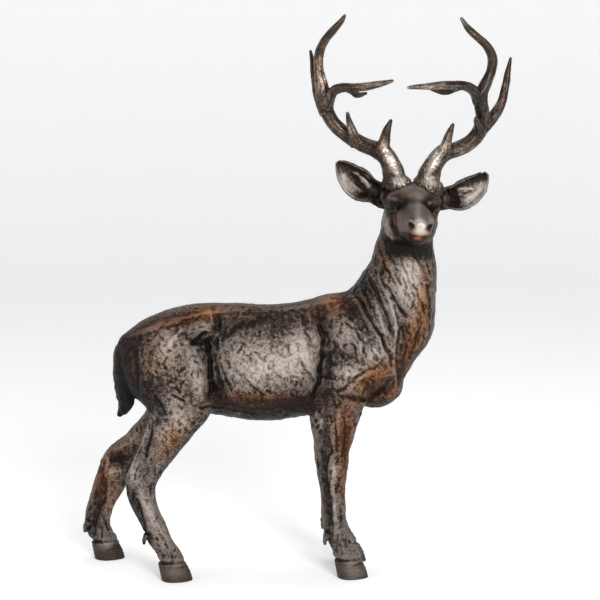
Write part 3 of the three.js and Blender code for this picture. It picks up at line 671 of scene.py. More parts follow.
def carve_folds(shown, use, folds, bulge, strength=1.0):
    """Adds the folds to bulge, at the places `use` that the photograph would show at `shown`."""
    finder = Near(shown[use], 8.0)
    for path, width, depth, *swell in folds:
        line, _ = catmull(np.array(path, float), np.linspace(0, 1, 5 * len(path)))
        margin = 5 * width / PIXEL
        near = finder.box(line.min(0) - margin, line.max(0) + margin)
        at = shown[use[near]]
        best = np.full(len(near), 1e9)
        side, along = np.zeros(len(near)), np.zeros(len(near))
        for i, (a, b) in enumerate(zip(line[:-1], line[1:])):
            d = b - a
            w = np.clip((at - a) @ d / (d @ d), 0, 1)
            gap = at - a - w[:, None] * d
            length = np.hypot(gap[:, 0], gap[:, 1])
            closer = length < best
            best[closer] = length[closer]
            side[closer] = np.sign(gap[:, 1] * d[0] - gap[:, 0] * d[1])[closer]
            along[closer] = ((i + w) / (len(line) - 1))[closer]
        fade = step(-0.05, 0.22, along) * step(-0.05, 0.22, 1 - along)
        across = best * side * PIXEL
        broad = 0.4 if depth > 2.5 else 0.15
        cut = -depth * ((1 - broad) * np.exp(-(across / (0.85 * width)) ** 2)
                        + broad * np.exp(-(across / (2.3 * width)) ** 2))
        lift = sum(swell) * np.exp(-((across - 1.9 * width) / (1.4 * width)) ** 2)
        bulge[use[near]] += (cut + lift) * fade * strength


def dabs(place, finder, roots, headings, lengths, widths, depths, bulge):
    """Short tool marks: each a slightly bowed stroke through its root; depth below 0 raises a dab."""
    for root, heading, length, width, depth in zip(roots, headings, lengths, widths, depths):
        a, b = root - heading * length / 2, root + heading * length / 2
        reach = 2.2 * width
        near = finder.box(np.minimum(a, b) - reach, np.maximum(a, b) + reach)
        gap = place[near] - a
        w = np.clip(gap @ heading / length, 0, 1)
        off = gap - heading * (w * length)[:, None]
        off[:, 2] += BOW * length * (w - 0.5) ** 2
        square = (off * off).sum(1) / width**2
        taper = 1 - (2 * w - 1) ** 4
        bulge[near] -= depth * np.exp(-square) * taper


def heading_at(roots, chance):
    """The way the hair lies: along the legs and tail, down and back along the trunk, down the neck."""
    x, z = roots[:, 0], roots[:, 2]
    leg = step(255, 215, z)
    neck = step(70, 110, x) * step(330, 380, z)
    haunch = step(-120, -160, x) * (1 - leg)
    lean = 0.50 * (1 - leg) - 0.1 * neck - 0.45 * haunch
    lean = lean + chance * (0.22 + 0.35 * (1 - leg) * (1 - neck) + 0.5 * haunch)
    return np.stack([np.sin(lean), np.zeros_like(lean), -np.cos(lean)], -1)


def sleekness(place):
    """1 where the surface was left smooth: the forehead and face, the hooves and the top of the back."""
    local = to_head(place)
    face = step(-14, 6, local[:, 1]) * step(-62, -40, local[:, 2]) * step(60, 48, np.abs(local[:, 0]))
    face *= 0.4 + 0.6 * step(-6, 14, local[:, 2] + 0.1 * local[:, 1])
    hooves = step(30, 24, place[:, 2])
    back = 0.7 * step(385, 392, place[:, 2]) * step(60, 30, place[:, 0])
    return np.maximum.reduce([face, hooves, back])


def ear_share(place):
    """1 on the ears, 0 on the head between them."""
    return step(508, 520, place[:, 2]) * step(44, 52, np.abs(place[:, 0] - HEAD_AT[0]))


def hide_folds(place):
    """The drawn folds as swellings, with the near side's repeated on the far side, fainter and fewer."""
    bulge = np.zeros(len(place))
    # The paths wander a little from the drawn ones, so that no groove is straight.
    wander = np.stack([0.8 * noise(place / 7, 21) + 0.9 * noise(place / 16, 22),
                       0.8 * noise(place / 7, 23) + 0.9 * noise(place / 16, 24)], -1)
    shown = pixels(place * np.where(place[:, 1:2] > 0, FLIP, 1)) + wander
    y, z = place[:, 1], place[:, 2]
    head, near = z > HEAD_FROM, y <= 2
    carve_folds(shown, np.flatnonzero(near & ~head), FOLDS, bulge)
    carve_folds(shown, np.flatnonzero(~near & ~head & (z > LEG_TOP)), FOLDS[::2], bulge, 0.75)
    carve_folds(pixels(place), np.flatnonzero(~near & (z <= LEG_TOP + 10)), FAR_FOLDS, bulge)
    bulge *= 0.85 + 0.4 * noise(place / 9, 25)
    carve_folds(pixels(place) + 0.4 * wander, np.flatnonzero(head & (y < 7)), HEAD_FOLDS, bulge)
    return bulge


def tool_marks(place, surface, bulge):
    """Short strokes and dabs scattered over the rough parts of the hide."""
    finder = Near(place, 10.0)
    rng = np.random.default_rng(11)

    def scatter(count, where, length, width, depth, loose):
        roots = place[rng.choice(where, count)].astype(float)
        headings = heading_at(roots, loose * rng.normal(0, 1, count))
        dabs(place, finder, roots, headings, rng.uniform(*length, count), rng.uniform(*width, count),
             rng.uniform(*depth, count), bulge)

    x, z = place[surface, 0], place[surface, 2]
    trunk, neck = surface[(z > 215) & (x < 110)], surface[(x > 80) & (z > 250)]
    legs, tail = surface[z < 235], surface[x < -236]
    scatter(900, trunk, (5, 15), (1.2, 2.2), (0.5, 1.5), 1.0)
    scatter(500, trunk, (5, 12), (2.0, 3.4), (-1.1, -0.4), 1.0)
    scatter(420, neck, (14, 38), (1.1, 2.0), (0.6, 1.6), 0.7)
    scatter(220, neck, (12, 30), (1.6, 2.8), (-1.2, -0.4), 0.7)
    scatter(520, legs, (8, 26), (1.0, 1.8), (0.4, 1.1), 0.6)
    scatter(200, legs, (6, 16), (1.4, 2.4), (-0.8, -0.3), 0.8)
    scatter(60, tail, (22, 50), (1.0, 1.6), (0.7, 1.5), 0.5)


def carve_body(body):
    """The hide's folds, tool marks and grain, the hair in the ears and the rings of the hooves."""
    index, place = body.band(BODY_BAND)
    height = place[:, 2]
    bulge = hide_folds(place)
    sleek = sleekness(place.astype(float)).astype(np.float32)
    on_skin = np.abs(body.d[index]) < 0.6
    tool_marks(place, np.flatnonzero(on_skin & (sleek < 0.5) & (height > HOOF_HEIGHT + 6)), bulge)
    grain = 0.42 * noise(place / (4.2, 4.2, 5.0), 12) + 0.42 * noise(place / 2.1, 13)
    swell = 0.9 * noise(place / 17, 14)
    bulge += (grain + swell) * (1 - 0.9 * sleek) * (1 - 0.6 * ear_share(place))
    ring = np.exp(-((height - CORONET) / 1.8) ** 2) - 0.8 * np.exp(-((height - PASTERN) / 3.0) ** 2)
    growth = 0.22 * np.sin(height * 1.1 + 0.9 * noise(place / 9, 15)) * step(27, 23, height)
    bulge += growth - 1.1 * ring
    body.d[index] -= bulge.astype(np.float32)


def crown_for(horn):
    """What the antler sits on, as a field over the antler's own grid: the skull, its bones and the ears."""
    crown = Field([0, 0, 0], [1, 1, 1], ANTLER_VOXEL)
    crown.first, crown.d = horn.first, np.full(horn.d.shape, FAR, np.float32)
    crown.add(skull(), 0)
    for s in (RIGHT, LEFT):
        for centre, radii in (BROW, CROWN):
            crown.ball(from_head((s * centre[0], *centre[1:])), radii, 0, HEAD, margin=16)
    for rings in (EAR_RIGHT, EAR_LEFT):
        crown.add(loft(rings, cap=(0, 0.8)), 0)
    return crown


def along_tubes(place, tubes):
    """How far along its nearest tube each place lies, and the angle round that tube."""
    best = np.full(len(place), 1e9)
    along, angle = np.zeros(len(place)), np.zeros(len(place))
    finder = Near(place, 8.0)
    for number, tube in enumerate(tubes.values()):
        rings, _ = catmull(tube, np.linspace(0, 1, 3 * len(tube)))
        line, radii = rings[:, :3], rings[:, 3]
        reach = np.cumsum(np.r_[0, np.linalg.norm(np.diff(line, axis=0), axis=1)])
        for i, (a, b) in enumerate(zip(line[:-1], line[1:])):
            d = b - a
            size = np.linalg.norm(d)
            margin = radii[i] + 8
            near = finder.box(np.minimum(a, b) - margin, np.maximum(a, b) + margin)
            gap = place[near] - a
            w = np.clip(gap @ d / size**2, 0, 1)
            off = gap - w[:, None] * d
            length = np.linalg.norm(off, axis=1) / max(radii[i], 3.0)
            closer = length < best[near]
            hit = near[closer]
            best[hit] = length[closer]
            across = unit(Y - d / size * (d[1] / size))
            other = np.cross(d / size, across)
            along[hit] = (reach[i] + w * size + 300 * number)[closer]
            angle[hit] = np.arctan2(off @ other, off @ across)[closer]
    return along, angle


def carve_antler(horn, tubes, crown):
    """Long ridges along each tube, lobes and pearls round the burr, and a waist above it."""
    index, place = horn.band(ANTLER_BAND)
    place = place.astype(float)
    along, angle = along_tubes(place, tubes)
    turn = np.stack([np.cos(angle) * 3.4, np.sin(angle) * 3.4, along / 17], -1)
    fine = np.stack([np.cos(angle) * 7, np.sin(angle) * 7, along / 9], -1)
    bulge = 0.75 * noise(turn, 31) + 0.35 * noise(fine, 32) + 0.15 * noise(place / 1.7, 33)
    above = crown.d[index].astype(float)
    lobes = noise(place / (3.0, 3.0, 7.0), 34)
    pearls = noise(place / 2.1, 35)
    collar = np.exp(-((above - 4) / 4.5) ** 2)
    bulge += collar * (1.5 * np.maximum(lobes, -0.5) + 0.6 * pearls + 1.2)
    bulge -= 0.8 * np.exp(-((above - 12) / 3.0) ** 2)
    reach = ANTLER_BAND - 1.5
    horn.d[index] -= np.clip(bulge, -reach, reach).astype(np.float32)


# Meshes and what their materials read
def largest(points, quads):
    """The biggest joined part of a skin, without loose chips and closed bubbles."""
    label = np.arange(len(points))
    a, b = np.vstack([quads[:, [i, (i + 1) % 4]] for i in range(4)]).T
    while True:
        low = np.minimum(label[a], label[b])
        after = label.copy()
        np.minimum.at(after, a, low)
        np.minimum.at(after, b, low)
        after = after[after]
        if (after == label).all():
            break
        label = after
    keep = label == np.bincount(label).argmax()
    return points[keep], (np.cumsum(keep) - 1)[quads[keep[quads[:, 0]]]]


def tidy_mesh(name, field, faces):
    """The field's skin as a Blender object in the row frame, brought down to that many triangles."""
    points, quads = largest(*field.polygons())
    points = (points + DRAWN_TO_ROW) * MM
    mesh = bpy.data.meshes.new(name)
    mesh.vertices.add(len(points))
    mesh.vertices.foreach_set("co", points.astype(np.float32).ravel())
    mesh.loops.add(quads.size)
    mesh.loops.foreach_set("vertex_index", quads.astype(np.int32).ravel())
    mesh.polygons.add(len(quads))
    mesh.polygons.foreach_set("loop_start", np.arange(0, quads.size, 4, dtype=np.int32))
    mesh.update(calc_edges=True)
    rough = bpy.data.objects.new(name, mesh)
    bpy.context.scene.collection.objects.link(rough)
    if 2 * len(quads) > faces:
        fewer = rough.modifiers.new("fewer", "DECIMATE")
        fewer.ratio = faces / (2 * len(quads))
        graph = bpy.context.evaluated_depsgraph_get()
        lean = bpy.data.meshes.new_from_object(rough.evaluated_get(graph))
        rough.modifiers.clear()
        rough.data = lean
        bpy.data.meshes.remove(mesh)
        lean.name = name
    kept = rough.data
    inside = np.clip(vertex_places(kept), cad_low, cad_high).astype(np.float32)
    kept.vertices.foreach_set("co", inside.ravel())
    kept.update()
    kept.shade_smooth()
    return rough


def vectors(items, field):
    out = np.empty(len(items) * 3, np.float32)
    items.foreach_get(field, out)
    return out.reshape(-1, 3).astype(float)


def vertex_places(mesh):
    return vectors(mesh.vertices, "co")


def vertex_normals(mesh):
    return vectors(mesh.vertex_normals, "vector")


def drawn(mesh):
    return vertex_places(mesh) / MM - DRAWN_TO_ROW


def hollows(mesh, rounds):
    """How far each vertex stands proud of its surroundings, in millimetres; hollows are below 0."""
    places = vertex_places(mesh)
    edges = np.empty(len(mesh.edges) * 2, np.int32)
    mesh.edges.foreach_get("vertices", edges)
    a, b = edges.reshape(-1, 2).T
    count = np.bincount(a, minlength=len(places)) + np.bincount(b, minlength=len(places))
    count = np.maximum(count, 1)[:, None]
    soft = places.copy()
    for _ in range(rounds):
        total = np.empty_like(soft)
        for axis in range(3):
            total[:, axis] = (np.bincount(a, soft[b, axis], len(places))
                              + np.bincount(b, soft[a, axis], len(places)))
        soft = total / count
    return ((places - soft) * vertex_normals(mesh)).sum(1) / MM


def openness(field, mesh):
    """1 where nothing stands in front of the skin, towards 0 in grooves and under overhangs."""
    at, out = drawn(mesh), vertex_normals(mesh)
    reaches = (3.0, 6.0, 12.0)
    return sum(np.clip(field.at(at + out * reach) / reach, 0, 1) for reach in reaches) / len(reaches)


# Where the finish was brushed on (SILVER, RUST) and where shade is painted into the colour (SHADE), in pixels
# of the photograph: centre, half sizes, turn in degrees (a positive turn lowers the right-hand end) and how
# strongly. Those of the near side are repeated on the far.
SILVER = [
    (284, 362, 32, 17, -14, 0.95), (245, 369, 22, 16, 20, 0.5), (303, 342, 12, 18, 0, 0.45),
    (250, 345, 20, 10, -12, 0.25), (170, 344, 8, 12, 30, 0.7), (197, 375, 8, 24, -6, 0.6),
    (176, 408, 9, 14, -20, 0.6), (160, 360, 26, 26, 0, 0.22), (206, 324, 10, 6, -15, 0.6),
    (207, 314.5, 9, 3.5, -12, 0.75), (333, 302, 7, 7, 0, 0.4),
    (374, 352, 12, 12, 30, 0.9), (349, 376, 13, 11, 0, 0.75), (345, 330, 16, 18, 30, 0.3),
    (394, 320, 4, 24, -14, 0.8), (408, 290, 12, 24, -14, 0.85), (411, 268, 9, 14, -20, 0.7),
    (381, 322, 4, 20, -16, 0.5), (396, 366, 2.5, 16, 0, 0.5), (334, 470, 5, 9, 0, 0.5),
    (334, 505, 2.5, 24, -5, 0.6), (354, 570, 9, 9, 0, 0.45), (146, 433, 2.8, 18, 22, 0.7),
    (134, 470, 4.5, 12, 10, 0.7), (148, 508, 4, 22, -22, 0.7), (165, 432, 9, 13, 20, 0.5),
    (183, 423, 8, 8, 0, 0.5), (160, 535, 8, 14, -30, 0.35), (176, 572, 10, 7, 0, 0.35),
    (420.5, 223.5, 9, 4.5, 0, 1.2), (421, 230, 6, 6, 0, 1.3), (386, 224, 1.8, 13, -14, 0.6),
    (391.5, 240, 1.8, 8, -25, 0.5), (418, 237.5, 3.5, 2, 0, 0.8), (419, 207, 3, 13, 0, 0.4),
    (403.5, 197.5, 1.6, 3, -25, 0.5), (391.5, 198, 4, 2, 0, 0.25), (429.7, 202.5, 1.6, 1.6, 0, 0.7),
    (345.4, 181, 4.5, 10, -25, 1.7), (366, 182.6, 2.5, 7, -40, 1.8), (356, 173.5, 4, 2, 30, 0.9),
    (352, 190, 6, 4, 10, 0.7), (473, 195, 5.5, 13, 35, 1.7), (482, 186.6, 3, 5, 20, 1.2),
    (465, 189.5, 7, 1.8, 0, 1.5), (464, 195, 4.5, 1.4, 0, 1.0),
    (321, 420, 3, 8, 0, 0.5), (341, 420, 8, 12, 0, 0.3), (120, 375, 2, 26, -12, 0.35),
]
RUST = [
    (180, 320, 34, 6, -14, 0.8), (206, 314, 11, 6, -10, 1.1), (333, 303, 9, 11, 0, 1.0),
    (355, 305, 14, 8, 10, 0.35), (376, 380, 22, 12, -30, 1.2), (388, 401, 20, 7, -16, 1.1),
    (414, 340, 9, 30, 16, 1.0), (424, 300, 6, 30, 0, 0.7), (345, 435, 9, 26, 0, 1.1),
    (341, 482, 3, 16, 0, 0.9), (258, 400, 48, 8, 2, 0.65), (240, 312, 40, 8, 0, 0.3),
    (172, 440, 10, 18, 35, 0.7), (383, 258, 4, 18, -18, 0.7), (391.5, 198, 5, 2.2, 0, 0.25),
    (402, 197, 2.5, 5, -30, 0.45), (436, 202.5, 5, 3, 0, 0.5), (439.5, 210, 1.8, 4, 0, 0.6),
    (411, 231, 3, 3.5, 0, 0.7), (430, 233, 3, 2, 0, 0.4), (418, 240, 8, 4.5, 0, 1.2),
    (396, 224, 2.5, 11, -4, 0.9), (451, 205.5, 4, 3.5, 0, 0.5), (150, 355, 26, 24, 0, 0.3),
    (314, 316, 12, 8, -10, 0.4),
]
# Painted shade: under the jaw and chin, in the eyes, nostrils and ear cups, down the backs of the legs and
# along the flank.
SHADE = [
    (270, 322, 62, 9, -4, 0.5), (345, 440, 5, 34, 0, 0.5), (258, 402, 50, 6, 2, 0.5),
    (120, 380, 9, 34, 0, 0.5), (129, 345, 14, 26, 0, 0.5), (140, 400, 22, 22, 0, 0.9),
    (121, 380, 11, 36, 0, 0.75), (400, 252, 14, 10, 0, 0.9), (365, 290, 10, 20, -20, 0.5),
    (325, 440, 4, 40, 0, 0.55), (328, 505, 4, 34, -4, 0.6), (132, 503, 5, 26, -22, 0.7),
    (328, 360, 7, 30, 0, 0.5), (204, 350, 9, 16, 0, 0.35), (296, 400, 24, 8, -10, 0.6),
    (219, 390, 8, 14, 0, 0.7), (402, 352, 4, 36, 4, 0.6),
    (393, 205.5, 4, 3, 0, 1.0), (436, 207, 3.5, 3, 0, 0.9), (403.5, 206, 5, 5, 0, 0.5),
    (412.3, 225.5, 3, 1.8, 20, 1.4), (429.2, 227, 2.4, 2, -10, 1.4),
    (406, 240, 5, 6, 0, 1.2), (414, 249, 16, 6, 0, 2.2),
    (356.5, 180.5, 2.3, 13, -48, 1.2), (362.5, 175.5, 1.8, 13, -52, 1.2),
    (366, 194, 6, 3, 0, 1.2), (467, 193, 2, 9, 60, 0.9), (455, 199, 3.5, 5, -20, 1.2),
    (480, 178, 7, 5, -30, 0.7), (378, 207, 5, 6, -30, 1.0), (447, 182, 8, 3, 0, 0.8),
]
FAR_SILVER = [(112, 495, 6, 26, 8, 0.3), (107, 462, 3, 10, 0, 0.6), (105, 545, 8, 5, 0, 0.45),
              (113, 472, 8, 3, -18, 0.6), (130, 440, 14, 4, -35, 0.4), (354, 548, 8, 8, 40, 0.4)]
FAR_RUST = [(101, 478, 6, 24, 6, 0.8), (112, 490, 7, 24, 6, 0.6), (126, 440, 22, 12, -35, 0.4)]
# FAR_SHADE is painted shade in the far hind leg's groove and in the hollow of its hock.
FAR_SHADE = [(99, 500, 5, 34, 12, 0.6), (119, 458, 9, 8, 0, 0.8)]


def painted(shown, zones):
    total = np.zeros(len(shown))
    for px, py, across, down, turn, amount in zones:
        c, s = math.cos(math.radians(turn)), math.sin(math.radians(turn))
        x, y = shown[:, 0] - px, shown[:, 1] - py
        square = ((x * c + y * s) / across) ** 2 + ((y * c - x * s) / down) ** 2
        total += amount * np.exp(-square * 0.8)
    return total


def finish_and_painted_shade_zones(at, near_zones, far_zones):
    """The near side's zones of brushed finish and of painted shade, repeated on the far side; the far hind
    leg has only its own.
    """
    head = at[:, 2] > HEAD_FROM
    mirrored_at = at * np.where((at[:, 1:2] > 0) & ~head[:, None], FLIP, 1)
    near, far = painted(pixels(mirrored_at), near_zones), painted(pixels(at), far_zones)
    far_leg = (at[:, 1] > 4) & (at[:, 2] < LEG_TOP)
    fore = at[:, 0] > 0
    return np.where(far_leg & ~fore, far, np.where(far_leg, near * 0.6 + far, near))


# Materials
class Graph:
    """A few short names for building a material's nodes."""

    def __init__(self, name):
        self.material = bpy.data.materials.new(name)
        self.material.use_nodes = True
        self.tree = self.material.node_tree
        self.shader = self.tree.nodes["Principled BSDF"]

    def node(self, kind, **inputs):
        made = self.tree.nodes.new("ShaderNode" + kind)
        for key, value in inputs.items():
            self.feed(made.inputs[key], value)
        return made

    def feed(self, socket, value):
        if isinstance(value, bpy.types.NodeSocket):
            self.tree.links.new(value, socket)
        else:
            socket.default_value = value

    def attribute(self, name):
        node = self.node("Attribute")
        node.attribute_name = name
        return node.outputs["Fac"]

    def math(self, operation, *values):
        node = self.node("Math")
        node.operation = operation
        for socket, value in zip(node.inputs, values):
            self.feed(socket, value)
        return node.outputs[0]

    def ramp(self, value, low, high, start=0.0, end=1.0):
        node = self.node("MapRange", **{"Value": value, "From Min": low, "From Max": high,
                                        "To Min": start, "To Max": end})
        node.interpolation_type = "SMOOTHSTEP"
        return node.outputs["Result"]

    def mix(self, share, a, b):
        node = self.node("Mix")
        node.data_type = "RGBA"
        self.feed(node.inputs["Factor"], share)
        self.feed(node.inputs[6], a)
        self.feed(node.inputs[7], b)
        return node.outputs[2]

    def noise(self, where, scale, detail, rough, warp=0.0):
        node = self.node("TexNoise", Vector=where, Scale=scale, Detail=detail, Roughness=rough,
                         Distortion=warp)
        return node.outputs["Fac"]

    def cracks(self, where, scale):
        """0 on the edges between small cells, rising to 1 within them."""
        node = self.node("TexVoronoi", Vector=where, Scale=scale)
        node.feature = "DISTANCE_TO_EDGE"
        return self.ramp(node.outputs["Distance"], 0.0, 0.22)


def colour(r, g, b):
    return (r, g, b, 1.0)


def total(g, *terms):
    """Adds up sockets and numbers, each of which may come with a factor."""
    made = None
    for term in terms:
        value, factor = term if isinstance(term, tuple) else (term, 1.0)
        if factor != 1.0:
            value = g.math("MULTIPLY", value, factor)
        made = value if made is None else g.math("ADD", made, value)
    return made


def surfaced(g, base, rub, roughness, specular, coat):
    """Gives the shader its colour and a metal that is barer and brighter where it is rubbed."""
    g.feed(g.shader.inputs["Base Color"], base)
    g.feed(g.shader.inputs["Metallic"], g.ramp(rub, 0, 1, 0.5, 0.95))
    g.feed(g.shader.inputs["Roughness"], roughness)
    for name, value in (("Specular IOR Level", specular), ("Coat Weight", coat), ("Coat Roughness", 0.3)):
        g.shader.inputs[name].default_value = value


def bumped(g, height, distance, strength):
    bump = g.node("Bump", Height=height, Strength=strength)
    bump.inputs["Distance"].default_value = distance
    g.feed(g.shader.inputs["Normal"], bump.outputs["Normal"])


def about(g, value, amount):
    """A noise value spread evenly about 0."""
    return g.math("MULTIPLY_ADD", value, amount, -amount / 2)


def bronze():
    g = Graph("Patinated bronze")
    at = g.node("TexCoord").outputs["Object"]
    high, open_, silver, rust, shade, sleek = [
        g.attribute(n) for n in ("high", "open", "silver", "rust", "shade", "sleek")]
    fine = g.noise(at, 420, 5, 0.65)
    mottle = g.noise(at, 95, 4, 0.6, 0.4)
    speck = g.noise(at, 1100, 2, 0.6)
    closed = g.math("SUBTRACT", 1.0, open_)
    coarse = g.math("MULTIPLY_ADD", sleek, -0.7, 1.0)
    raised = g.math("MULTIPLY", high, coarse)
    # The cells of the hide's leather, pushed out of shape by a coarser noise.
    shift = g.node("TexNoise", Vector=at, Scale=160.0, Detail=2.0).outputs["Color"]
    moved = g.node("VectorMath")
    moved.operation = "MULTIPLY_ADD"
    for socket, value in zip(moved.inputs, (shift, (0.006, 0.006, 0.006), at)):
        g.feed(socket, value)
    hide = g.cracks(moved.outputs[0], 310)
    grain = total(g, about(g, fine, 0.8), about(g, speck, 0.45), (hide, 0.14), -0.1)
    grain = g.math("MULTIPLY", grain, coarse)

    # The shade attribute is painted shade: it lowers the level and so darkens the colour.
    level = total(g, grain, about(g, mottle, 0.22), (raised, 0.12), (silver, 0.5), (closed, -0.8),
                  (shade, -0.38), (rust, -0.05), (sleek, 0.06), 0.36)
    base = g.mix(g.ramp(level, 0.0, 0.6), colour(0.004, 0.003, 0.0025), colour(0.070, 0.051, 0.038))
    warm = g.mix(g.ramp(level, 0.0, 0.9), colour(0.022, 0.007, 0.002), colour(0.27, 0.098, 0.025))
    rusty = g.math("MULTIPLY", rust, g.ramp(total(g, mottle, (grain, 0.4)), 0.1, 0.55, 0.35, 1.3))
    base = g.mix(g.math("MINIMUM", rusty, 1.0), base, warm)
    rub = g.math("MULTIPLY", g.ramp(level, 0.25, 1.3), g.ramp(rust, 0.1, 1.2, 1.0, 0.45))
    base = g.mix(rub, base, colour(0.56, 0.485, 0.43))
    roughness = total(g, (fine, 0.3), (sleek, 0.14), (rub, -0.05), 0.27)
    surfaced(g, base, rub, roughness, specular=0.2, coat=0.05)
    relief = total(g, fine, (speck, 0.35), (hide, 0.2))
    bumped(g, relief, 0.0016, g.ramp(sleek, 0, 1, 0.9, 0.25))
    return g.material


def horn():
    g = Graph("Rubbed horn bronze")
    at = g.node("TexCoord").outputs["Object"]
    high, open_, silver, rust = [g.attribute(n) for n in ("high", "open", "silver", "rust")]
    fine = g.noise(at, 340, 4, 0.65)
    mottle = g.noise(at, 70, 4, 0.6, 0.5)
    closed = g.math("SUBTRACT", 1.0, open_)

    level = total(g, about(g, fine, 0.9), about(g, mottle, 0.7), (high, 0.22), (silver, 0.72),
                  (closed, -0.8), (rust, -0.1), 0.18)
    base = g.mix(g.ramp(level, 0.0, 0.6), colour(0.006, 0.004, 0.003), colour(0.085, 0.056, 0.034))
    warm = g.mix(g.ramp(level, 0.0, 0.8), colour(0.030, 0.012, 0.004), colour(0.22, 0.105, 0.040))
    rusty = g.math("MULTIPLY", rust, g.ramp(mottle, 0.3, 0.65))
    base = g.mix(g.math("MINIMUM", rusty, 1.0), base, warm)
    rub = g.ramp(level, 0.3, 1.15)
    base = g.mix(rub, base, colour(0.62, 0.55, 0.49))
    surfaced(g, base, rub, total(g, (fine, 0.3), 0.24), specular=0.3, coat=0.2)
    bumped(g, fine, 0.0008, 0.7)
    return g.material


# The pieces
def dress(mesh, material, **layers):
    """Gives a mesh its material and the values that the material reads at each vertex."""
    for name, values in layers.items():
        layer = mesh.attributes.new(name, "FLOAT", "POINT")
        layer.data.foreach_set("value", np.asarray(values, np.float32))
    mesh.materials.clear()
    mesh.materials.append(material)


def finish_body(piece, field, horns):
    mesh = piece.data
    at = drawn(mesh)
    ears = ear_share(at)
    # Painted shade on the surfaces that face down, above the hooves.
    painted_underside_shade = step(0.15, 0.85, -vertex_normals(mesh)[:, 2]) * step(24, 40, at[:, 2])
    hooves = step(28, 22, at[:, 2])
    # A painted shadow on the head where it meets the antlers' burrs.
    painted_burr_shadow = sum(step(4.5, 1.0, horn_field.at(at)) for horn_field in horns)
    # shade: the zones of painted shade, the painted shade under the body and the painted shadow at the burrs,
    # and a darker tone on the hooves.
    shade = np.minimum(finish_and_painted_shade_zones(at, SHADE, FAR_SHADE) + 0.9 * painted_underside_shade, 1.4) + 0.45 * hooves + 1.2 * painted_burr_shadow
    dress(mesh, bronze(),
          high=np.clip(hollows(mesh, 3) * 3.5 + hollows(mesh, 25) * 0.5, -1.5, 1.5),
          open=np.maximum(openness(field, mesh), ears),
          silver=np.minimum(finish_and_painted_shade_zones(at, SILVER, FAR_SILVER), 1.2 + 0.5 * ears),
          rust=np.minimum(finish_and_painted_shade_zones(at, RUST, FAR_RUST), 1.2),
          shade=shade,
          sleek=sleekness(at))


ANTLER_SILVER = [
    (391, 160, 4.5, 20, -28, 1.2), (434, 161, 5, 18, 30, 1.1), (399, 181, 8, 4, 0, 1.0),
    (432, 182, 8, 5, 0, 0.9), (323, 80, 8, 26, 0, 0.5), (372, 84, 22, 4, 0, 0.5), (430, 86, 20, 4, 0, 0.4),
    (494, 110, 8, 26, 0, 0.3), (457, 148, 14, 6, 0, 0.45), (350, 130, 18, 8, 30, 0.4),
]
ANTLER_RUST = [
    (380, 140, 6, 14, 0, 0.9), (350, 140, 20, 8, 30, 0.7), (318, 70, 10, 40, 0, 0.6),
    (365, 85, 26, 5, 0, 0.6), (470, 140, 20, 10, -20, 0.5), (490, 60, 12, 40, 0, 0.5),
    (505, 85, 6, 24, 0, 0.6), (335, 40, 12, 20, 0, 0.5),
]


def finish_antler(piece, field, material):
    mesh = piece.data
    shown = pixels(drawn(mesh))
    dress(mesh, material,
          high=np.clip(hollows(mesh, 4) * 3.5, -1.5, 1.5),
          open=openness(field, mesh),
          silver=np.minimum(painted(shown, ANTLER_SILVER), 1.2),
          rust=np.minimum(painted(shown, ANTLER_RUST), 1.2))


flesh = build_body()
carve_body(flesh)
# Nothing reaches below the floor.
np.maximum(flesh.d, -flesh.axes(flesh.all())[2], out=flesh.d)
stag = tidy_mesh("stag_body_relief", flesh, BODY_FACES)
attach(stag, "root")
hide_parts("stag_body")
horn_finish = horn()
horns = []
for name, tubes in (("antler_right", ANTLER_RIGHT), ("antler_left", ANTLER_LEFT)):
    horn_field = antler(tubes)
    crown = crown_for(horn_field)
    carve_antler(horn_field, tubes, crown)
    horn_field.put(crown.d - SEAM, horn_field.all(), 3.0, cut=True)
    piece = tidy_mesh(name + "_relief", horn_field, ANTLER_FACES)
    finish_antler(piece, horn_field, horn_finish)
    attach(piece, "root")
    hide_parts(name)
    horns.append(horn_field)
finish_body(stag, flesh, horns)


# Studio
def row(point):
    return (np.asarray(point, float) + DRAWN_TO_ROW) * MM


def aim(item, at, target):
    item.location = Vector(at)
    item.rotation_euler = (Vector(target) - Vector(at)).to_track_quat("-Z", "Y").to_euler()
    bpy.context.scene.collection.objects.link(item)


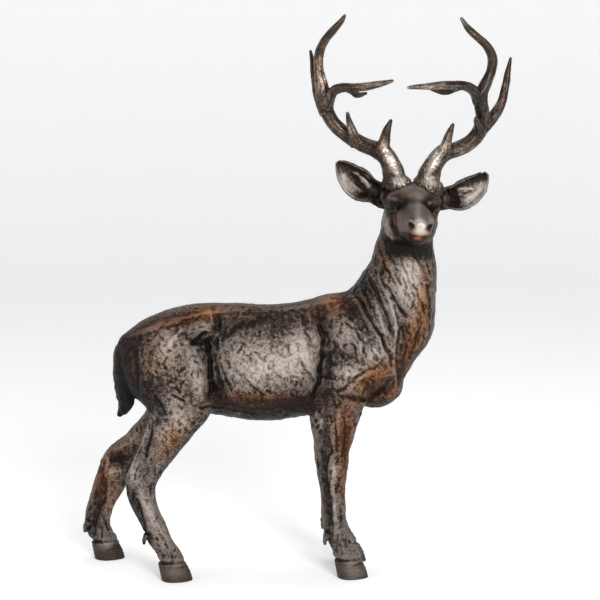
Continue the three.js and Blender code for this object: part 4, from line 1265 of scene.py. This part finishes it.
target = row((0, 0, EYE_LEVEL)) + [(PICTURE / 2 - MIDDLE[0]) * PIXEL * MM, 0, 0]
back = np.array([0, -math.cos(VIEW_RISE), math.sin(VIEW_RISE)])
lens = bpy.data.cameras.new("camera")
lens.sensor_width = 36
lens.lens = lens.sensor_width * VIEW_BACK / PIXEL / PICTURE
camera = bpy.data.objects.new("camera", lens)
aim(camera, target + back * VIEW_BACK * MM, target)
bpy.context.scene.camera = camera


def bowl(radius, sweep, height):
    """A round floor that curves up into a wall, so that no edge shows behind the stag from any side."""
    rows = [(radius / 2, 0.0)]
    for angle in np.linspace(0, math.pi / 2, 13):
        rows.append((radius + sweep * math.sin(angle), sweep * (1 - math.cos(angle))))
    rows.append((radius + sweep, height))
    turns = 72
    spin = np.linspace(0, 2 * math.pi, turns, endpoint=False)
    points = [(r * math.cos(a), r * math.sin(a), z) for r, z in rows for a in spin]
    faces = [[low + k, low + (k + 1) % turns, low + turns + (k + 1) % turns, low + turns + k]
             for low in range(0, (len(rows) - 1) * turns, turns) for k in range(turns)]
    faces.append(list(range(turns))[::-1])
    mesh = bpy.data.meshes.new("floor")
    mesh.from_pydata(points, [], faces)
    mesh.shade_smooth()
    made = bpy.data.objects.new("floor", mesh)
    bpy.context.scene.collection.objects.link(made)
    return made


floor = bowl(3.6, 1.4, 2.6)
pale = Graph("Pale floor")
for name, value in (("Base Color", colour(0.9, 0.9, 0.9)), ("Roughness", 0.9),
                    ("Emission Color", colour(1.0, 1.0, 1.0)), ("Emission Strength", 0.3)):
    pale.shader.inputs[name].default_value = value
floor.data.materials.append(pale.material)

world = bpy.data.worlds.new("studio")
world.use_nodes = True
sky = world.node_tree.nodes["Background"]
sky.inputs["Color"].default_value = colour(0.95, 0.96, 1.0)
sky.inputs["Strength"].default_value = 0.3
bpy.context.scene.world = world
bpy.context.scene.view_settings.view_transform = "Standard"


def area(name, at, target, width, height, power):
    light = bpy.data.lights.new(name, "AREA")
    light.shape = "RECTANGLE"
    light.size, light.size_y = width, height
    light.energy = power
    aim(bpy.data.objects.new(name, light), at, target)


HEART = (0, 0, 0.4)  # the middle of the stag, which all the lights face
area("key", (0.8, -2.2, 1.3), HEART, 0.9, 0.9, 50)
area("fill", (-2.2, -1.2, 1.2), HEART, 1.0, 1.4, 7)
area("top", (0.0, 0.4, 2.4), HEART, 1.6, 1.2, 16)
